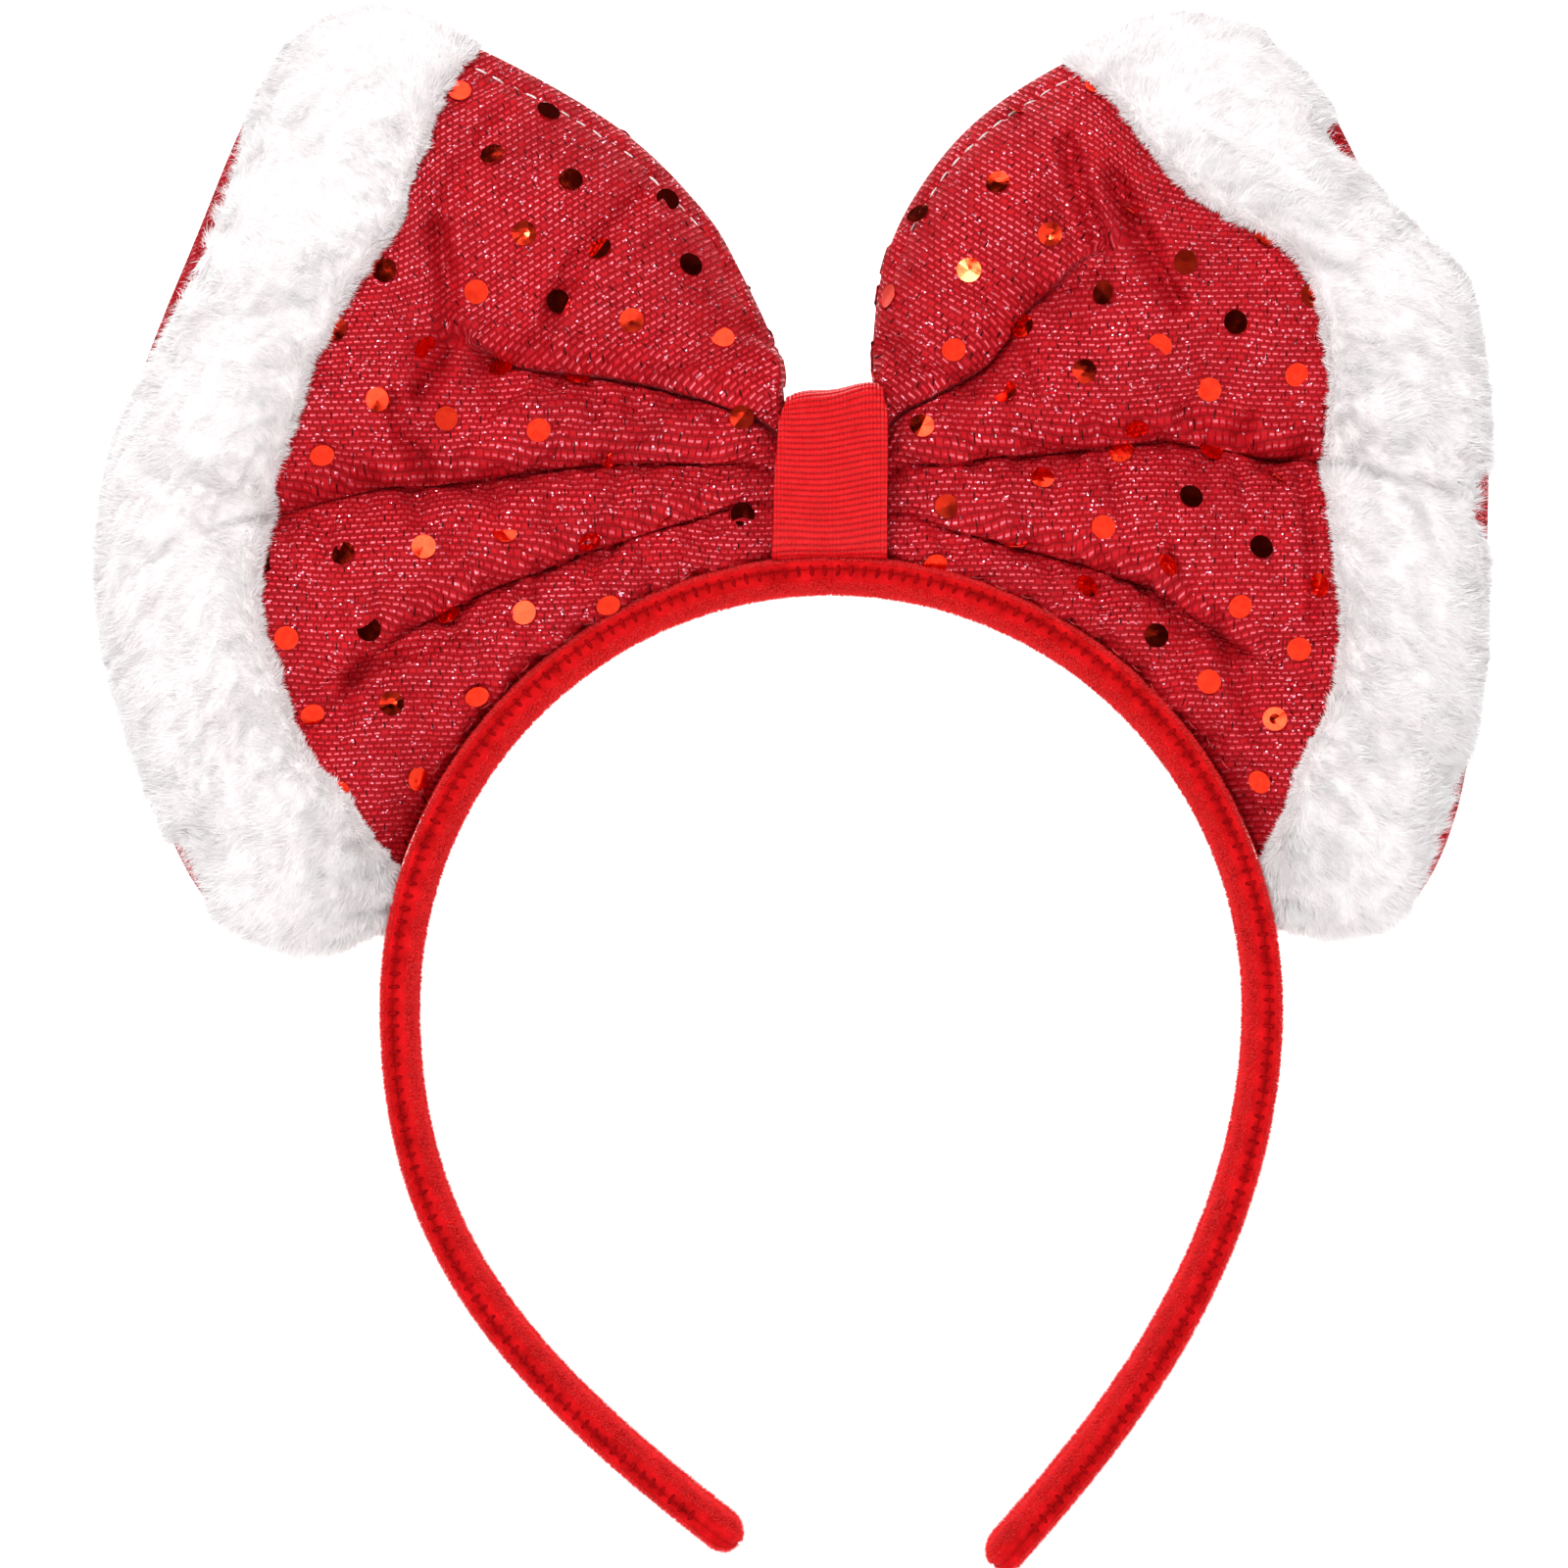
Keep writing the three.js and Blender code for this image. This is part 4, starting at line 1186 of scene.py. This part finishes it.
def knot_section(count):
    """The ribbon's middle line, a rounded loop in the Y-Z plane: [y, z], normals and run."""
    half = ribbon_high[1] - RIBBON_INSET[0]
    low, high = KNOT_LOW, ribbon_high[2] - RIBBON_INSET[1]
    middle, rise = (low + high) / 2, (high - low) / 2
    angle = np.linspace(0, 2 * math.pi, 4 * count, endpoint=False)
    across, up = squared_off(angle)
    y, z = -half * across, middle + rise * up
    dense = Path(np.vstack([np.stack([y, z], -1), [[y[0], z[0]]]]))
    share = np.arange(count) / count
    at = dense.at(share)
    ahead = dense.at((share + 1e-3) % 1) - dense.at((share - 1e-3) % 1)
    normal = unit(np.stack([ahead[:, 1], -ahead[:, 0]], -1))
    centre = np.array([0, middle])
    normal *= np.sign(np.sum(normal * (at - centre), -1, keepdims=True))
    return at, normal, share * dense.length


def rib_phase(w, section, run):
    """The ribs' phase round the loop. They bow a little, and climb to the right."""
    turns = round(run[-1] / RIB_PITCH)
    climb = 0.9 * smooth(w, 0.35, 1) + 0.25 * np.sin(w * 5 + section[:, 1:] * 0.15)
    facing_out = smooth(-section[:, :1], -1.0, 1.0)
    upward = np.where(np.gradient(section[:, 1])[:, None] > 0, -1.0, 1.0)
    return (run[:, None] / run[-1] * turns + upward * climb * facing_out / RIB_PITCH) * 2 * math.pi


def ribbon_relief(x, inset, phase):
    """How far the ribs stand out, and the cords along the ribbon's edges."""
    inner_part = smooth(inset, SELVEDGE - 0.5, SELVEDGE)
    rib = np.sqrt(np.abs(np.sin(phase / 2)))
    weave = 0.5 + 0.5 * np.sin(x * 2 * math.pi / WARP_PITCH)
    edge_cord = 0.5 + 0.5 * np.cos(phase)
    ribbed = RIB_HEIGHT * rib * inner_part * (0.75 + 0.25 * weave)
    corded = SELVEDGE_HEIGHT * (1 - inner_part) * (0.6 + 0.4 * edge_cord)
    return ribbed + corded


def ribbon_shift(w, x, z):
    """The loop's top is higher on the right, with a slight wave, and its bottom lies on the band's arc."""
    top = smooth(z, 26, 31) * (2.0 * (w - 0.45) + 0.25 * np.sin(w * 9))
    return top - (1 - smooth(z, KNOT_LOW, KNOT_LOW + 4)) * (0.2 + x**2 / 105)


def build_ribbon():
    """The grosgrain loop: a thick ribbon with its ribs in the mesh."""
    around, across = 760, 60
    section, normal, run = knot_section(around)
    y, z = section[:, :1], section[:, 1:]
    left, right = (np.interp(z, *np.array(KNOT_EDGES[side]).T) for side in ("left", "right"))
    w = np.linspace(0, 1, across)[None, :]
    x = lerp(left, right, w)
    phase = rib_phase(w, section, run)
    rise = ribbon_relief(x, np.minimum(x - left, right - x), phase)
    sag = RIBBON_SAG * (1 - (2 * w - 1) ** 2)
    shift = ribbon_shift(w, x, z)
    skins = []
    for side in (1, -1):
        off = side * RIBBON_HALF_THICKNESS + (rise if side > 0 else 0) + sag
        skins.append(np.stack([x, y + normal[:, :1] * off, z + normal[:, 1:] * off + shift], -1))
    outer, inner = skins
    verts = np.concatenate([outer, inner[:, ::-1]], axis=1)
    faces = grid_faces(around, 2 * across, wrap_rows=True, wrap_columns=True)
    grain = np.concatenate([np.stack([x, phase * RIB_PITCH / (2 * math.pi)], -1)] * 2, axis=1)
    piece = make_mesh("knot_grosgrain", verts, faces, grosgrain, grain.reshape(-1, 2),
                      bake=grid_bake(around, 2 * across, True, True))
    on_crown(piece, "grosgrain", "knot_ribbon")


build_ribbon()

# ---- the band ------------------------------------------------------------------------------------
LEGS = {
    "left": dict(side=-1, drop=34, pull=44, tip=(-12.4, -142.6), heading=(0.793, -0.606)),
    "right": dict(side=1, drop=41, pull=17, tip=(22.6, -146.4), heading=(-0.64, -0.77)),
}
SEAM_HEIGHT = 3.7  # of the side seams, from the head outwards
SEAM_PINCH = 0.3  # how far the seam draws the rim in
SEAM_STITCH = 1.9  # pitch of its overcast stitches
SEAM_RADIUS = 0.3  # of their thread
PILE = 0.45  # length of the velvet's pile
VELVET_BASE = PILE * 0.6  # depth that the pile fills, down to the ground
VELVET_STRANDS = 62000  # on each of the band's four velvet pieces


def bezier(p0, p1, p2, p3, count=300):
    t = np.linspace(0, 1, count)[:, None]
    return (1 - t) ** 3 * p0 + 3 * (1 - t) ** 2 * t * p1 + 3 * (1 - t) * t**2 * p2 + t**3 * p3


def band_path(side, drop, pull, tip, heading):
    """Half of the band's inner face, from the top of the head to a tip, in the X-Z plane."""
    angle = np.linspace(0, math.pi / 2, 300)
    arc = np.stack([side * INNER_RADIUS * np.sin(angle), INNER_RADIUS * (np.cos(angle) - 1)], -1)
    start, end = arc[-1], np.array(tip, float)
    leg = bezier(start, start + np.array([0, -drop]), end - np.array(heading) * pull, end)
    return Path(np.vstack([arc, leg[1:]]))


def frame_along(path, side, share):
    """Places on the band's inner face, with the directions towards the tip and away from the head."""
    tangent = path.along(share)
    return path.at(share), tangent, np.stack([-tangent[:, 1], tangent[:, 0]], -1) * side


def band_rings(path, side, section, stations):
    """Sweeps a section of [depth, height] pairs along the path, rounding off at the tip."""
    share = np.linspace(0, 1, stations)
    base, _, outward = frame_along(path, side, share)
    left_to_go = (1 - share) * path.length
    round_off = BAND_OUT / 2 + 0.3
    shrink = np.sqrt(np.clip(1 - (1 - np.clip(left_to_go / round_off, 0, 1)) ** 2, 0.02, 1))
    depth = section[None, :, 0] * shrink[:, None]
    height = (section[None, :, 1] - BAND_OUT / 2) * shrink[:, None] + BAND_OUT / 2
    x = base[:, None, 0] + outward[:, None, 0] * height
    z = base[:, None, 1] + outward[:, None, 1] * height
    return np.stack([x, depth, z], -1), share * path.length


def channel_lines(half, face, seam, wall, count):
    """Half of the band's section, from one side seam over the face to the other, as two lines."""
    angle = np.linspace(0, math.pi, count)
    rise = face - seam
    lean, climb = squared_off(angle)
    lean, climb = -lean, np.abs(climb)
    outer = np.stack([half * lean, seam + rise * climb], -1)
    outer[:, 0] *= 1 - SEAM_PINCH / half * bell(outer[:, 1] - seam, 0.5)
    inner = np.stack([(half - wall) * lean, seam + (rise - np.sign(rise) * wall) * climb], -1)
    return outer, inner


def channel_mesh(rings, count, material, name, flip):
    """A closed skin round the swept rings, with a cap across each end."""
    stations = len(rings)
    faces = [grid_faces(stations, 2 * count, wrap_columns=True)]
    bake = [grid_bake(stations, 2 * count, wrap_columns=True, width=0.96)]
    for number, station in enumerate((0, stations - 1)):
        near = station * 2 * count + np.arange(count - 1)
        far = station * 2 * count + 2 * count - 1 - np.arange(count - 1)
        cap = np.stack([near, near + 1, far - 1, far], -1)
        faces.append(cap[:, ::-1] if station == 0 else cap)
        step = np.arange(count - 1)[:, None] + np.array([0, 1, 1, 0])
        strip = np.array([0.97, 0.97, 0.98, 0.98]) + 0.015 * number
        bake.append(np.stack([np.broadcast_to(strip, step.shape), step / count], -1))
    faces, bake = np.vstack(faces), np.vstack(bake)
    if flip:
        faces, bake = faces[:, ::-1], bake[:, ::-1]
    return make_mesh(name, rings.reshape(-1, 3), faces, material, bake=bake)


def across_flex(piece):
    """Bakes the piece's placement into its mesh."""
    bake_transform(piece)


def build_velvet_pile(name, path, side, rings, count, seam_rows, seed):
    """Short pile all over the outer line of a swept channel."""
    rng = np.random.default_rng(seed)
    stations = len(rings)
    i = rng.uniform(0, stations - 1.001, VELVET_STRANDS)
    j = rng.uniform(0, count - 1.001, VELVET_STRANDS)
    i0, j0 = i.astype(int), j.astype(int)
    fi, fj = (i - i0)[:, None], (j - j0)[:, None]
    low = lerp(rings[i0, j0], rings[i0 + 1, j0], fi)
    high = lerp(rings[i0, j0 + 1], rings[i0 + 1, j0 + 1], fi)
    roots = lerp(low, high, fj)
    along = unit(rings[i0 + 1, j0] - rings[i0, j0] + 1e-9)
    normal = unit(np.cross(along, unit(rings[i0, j0 + 1] - rings[i0, j0] + 1e-9)))
    share = i / (stations - 1)
    base, _, outward = frame_along(path, side, share)
    middle = base + outward * BAND_OUT / 2
    centre = np.stack([middle[:, 0], np.zeros(len(i)), middle[:, 1]], -1)
    normal *= np.sign(np.sum(normal * (roots - centre), -1, keepdims=True))
    direction = unit(normal + along * 0.35 + rng.normal(0, 0.35, roots.shape))
    keep = (j > seam_rows) & (j < count - 1 - seam_rows)
    roots, direction = roots[keep] - direction[keep] * 0.1, direction[keep]
    lengths = PILE * rng.uniform(0.7, 1.35, len(roots))
    return strands(name, roots, direction, lengths, 0.1, direction, velvet_pile, seed + 1)


def build_cover(name, path, side, face, seam, replaced, seed):
    """One velvet ribbon of half of the band, with its pile.

    The pile stops a few rows of the section's count short of the seams.
    """
    stations, count = 460, 44
    outer, inner = channel_lines(BAND_HALF_DEPTH - VELVET_BASE, face, seam, 1.0, count)
    section = np.concatenate([outer, inner[::-1]])
    rings, run = band_rings(path, side, section, stations)
    # the seam's stitches draw the rim in at even steps
    near_seam = bell(section[:, 1] - seam, 0.8)[None, :]
    pulled = 0.5 + 0.5 * np.cos(run[:, None] * 2 * math.pi / SEAM_STITCH)
    rings[..., 1] *= 1 - 0.1 * near_seam * pulled
    piece = channel_mesh(rings, count, velvet, name, flip=(side > 0) == (face > seam))
    bare_rows = 5 if face > seam else 2.5
    pile = build_velvet_pile(name + "_pile", path, side, rings, count, bare_rows, seed)
    for one in (piece, pile):
        across_flex(one)
    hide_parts(*replaced)


def build_seam_thread(leg_name, path, side):
    """Small overcast stitches across both side seams of half of the band."""
    count = int((path.length - 6) / SEAM_STITCH)
    share = (np.arange(count) + 0.5) * SEAM_STITCH / path.length
    base, tangent, outward = frame_along(path, side, share)
    starts, ends, normals = [], [], []
    for face in (-1, 1):
        deep = np.full(count, face * (BAND_HALF_DEPTH - VELVET_BASE - 0.35))
        for out, shift, store in ((SEAM_HEIGHT - 1.5, -0.1, starts), (SEAM_HEIGHT + 1.1, 0.1, ends)):
            place = base + outward * out + tangent * shift
            store.append(np.stack([place[:, 0], deep, place[:, 1]], -1))
        normals.append(np.tile([0.0, face, 0.0], (count, 1)))
    piece = stitch_run(f"{leg_name}_seam_thread", np.vstack(starts), np.vstack(ends), np.vstack(normals),
                       SEAM_RADIUS, seam_red, arch_height=0.3)
    across_flex(piece)


for number, (leg_name, leg) in enumerate(LEGS.items()):
    half_path = band_path(**leg)
    build_cover(f"{leg_name}_outer_velvet", half_path, leg["side"], BAND_OUT - VELVET_BASE,
                SEAM_HEIGHT + 0.02, [f"{leg_name}_leg_cover", "crown_cover"], SEED + 60 + number)
    build_cover(f"{leg_name}_inner_velvet", half_path, leg["side"], VELVET_BASE,
                SEAM_HEIGHT - 0.02, [f"{leg_name}_leg_lining", "crown_lining"], SEED + 70 + number)
    build_seam_thread(leg_name, half_path, leg["side"])

# ---- pieces kept from the frame ------------------------------------------------------------------
core_plastic = grained_material("core plastic", (0.72, 0.68, 0.58), (0.80, 0.76, 0.66), 300.0, 0.45, 0.1)
glue = grained_material("hot glue", (0.78, 0.72, 0.58), (0.88, 0.83, 0.70), 500.0, 0.25, 0.2)
KEPT = dict(crown_core=core_plastic, left_leg_core=core_plastic, right_leg_core=core_plastic,
            glue_pad=glue, gather_thread=red_thread)
for node, material in KEPT.items():
    for slot in frame["nodes"][node].material_slots:
        slot.material = material

# ---- stage, light and camera ---------------------------------------------------------------------
FRAME_MM = 240.0  # the camera's view is this high and wide at the bow's middle plane
VIEW_CENTRE = (-7.2, -28.95)  # of the view, as X and Z
FLOOR_GAP = 0.6  # from the floor to the lowest place that a tip can swing to
STUDIO_RADIUS = 3200.0
STUDIO_BEND = 700.0  # radius of the curve from the floor to the wall
STUDIO_HEIGHT = 3000.0


def lowest_reach():
    """The lowest height that a leg's tip can swing to."""
    heights = []
    for leg_name, leg in LEGS.items():
        x, _, z = JOINTS[f"{leg_name}_flex"]
        heights.append(z - math.hypot(leg["tip"][0] - x, leg["tip"][1] - z))
    return min(heights) - BAND_OUT / 2


def studio_paper():
    """Pale paper. High on the front side the wall is painted dark, as painted shade that the film discs
    mirror.
    """
    m = Shader("studio paper", Roughness=0.9, Specular_IOR_Level=0.1)
    paper = m.ramp(m.noise(3.0, 3), (0.3, (0.93, 0.93, 0.93)), (0.7, (0.95, 0.95, 0.95)))
    place = m.node("ShaderNodeSeparateXYZ", {0: m.node("ShaderNodeTexCoord").outputs["Object"]})
    ahead = m.grey_ramp(m.times(place.outputs["Y"], -0.5), (0.1, 0.0), (0.5, 1.0))
    raised = m.grey_ramp(place.outputs["Z"], (0.0, 0.0), (0.4, 1.0))
    painted_dark_front = m.times(ahead, raised)
    # painted shade: the paper is near black high on the front side
    m.plug("Base Color", m.mix(painted_dark_front, paper, (0.05, 0.05, 0.055)))
    return m.material


def add_stage():
    """A round studio: a pale floor that curves up into a wall on every side, pale but for painted shade
    high on the front side.
    """
    floor_z = lowest_reach() - FLOOR_GAP
    radius, bend = STUDIO_RADIUS, STUDIO_BEND
    profile = [(0.1, floor_z), (800.0, floor_z), (radius - bend, floor_z)]
    for step in range(1, 13):
        angle = step / 12 * math.pi / 2
        out, up = bend * math.sin(angle), bend * (1 - math.cos(angle))
        profile.append((radius - bend + out, floor_z + up))
    profile.append((radius, STUDIO_HEIGHT))
    sides = 64
    turn = np.arange(sides) / sides * 2 * math.pi
    rows = np.array([[(r * math.cos(t), r * math.sin(t), z) for t in turn] for r, z in profile])
    faces = grid_faces(len(rows), sides, wrap_columns=True)
    make_mesh("studio_room", rows.reshape(-1, 3), faces, studio_paper())


def add_light(name, place, size, power, target=(0, 0, -0.02)):
    """A rectangular lamp that faces the target; places and sizes in metres."""
    data = bpy.data.lights.new(name, "AREA")
    data.shape = "RECTANGLE"
    data.size, data.size_y = size
    data.energy = power
    lamp = bpy.data.objects.new(name, data)
    lamp.location = place
    lamp.rotation_euler = (Vector(target) - Vector(place)).to_track_quat("-Z", "Y").to_euler()
    bpy.context.scene.collection.objects.link(lamp)


def add_camera():
    data = bpy.data.cameras.new("view")
    data.sensor_width = 36.0
    data.lens = 120.0
    distance = FRAME_MM * MM * data.lens / data.sensor_width
    camera = bpy.data.objects.new("view", data)
    camera.location = (VIEW_CENTRE[0] * MM, -distance, VIEW_CENTRE[1] * MM)
    camera.rotation_euler = (math.pi / 2, 0, 0)
    data.clip_start = 0.01
    bpy.context.scene.collection.objects.link(camera)
    bpy.context.scene.camera = camera


add_stage()
add_camera()
add_light("key", (-0.45, -1.15, 0.85), (1.1, 0.8), 16)
add_light("flash", (0.03, -1.35, 0.16), (0.14, 0.1), 2.6)
add_light("side fill", (1.0, -0.75, 0.0), (0.35, 0.9), 3.2)
add_light("top", (-0.1, -0.1, 1.1), (1.0, 0.5), 4.5)
add_light("wall wash", (0.0, 1.9, 1.9), (3.0, 0.5), 60, target=(0, 3.3, 0.1))
add_light("floor wash", (0.0, 1.2, 1.4), (2.2, 0.8), 26, target=(0, 1.0, -0.15))
world = bpy.data.worlds.new("studio")
world.use_nodes = True
world.node_tree.nodes["Background"].inputs["Color"].default_value = (1, 1, 1, 1)
world.node_tree.nodes["Background"].inputs["Strength"].default_value = 0.04
bpy.context.scene.world = world
bpy.context.scene.view_settings.view_transform = "Standard"
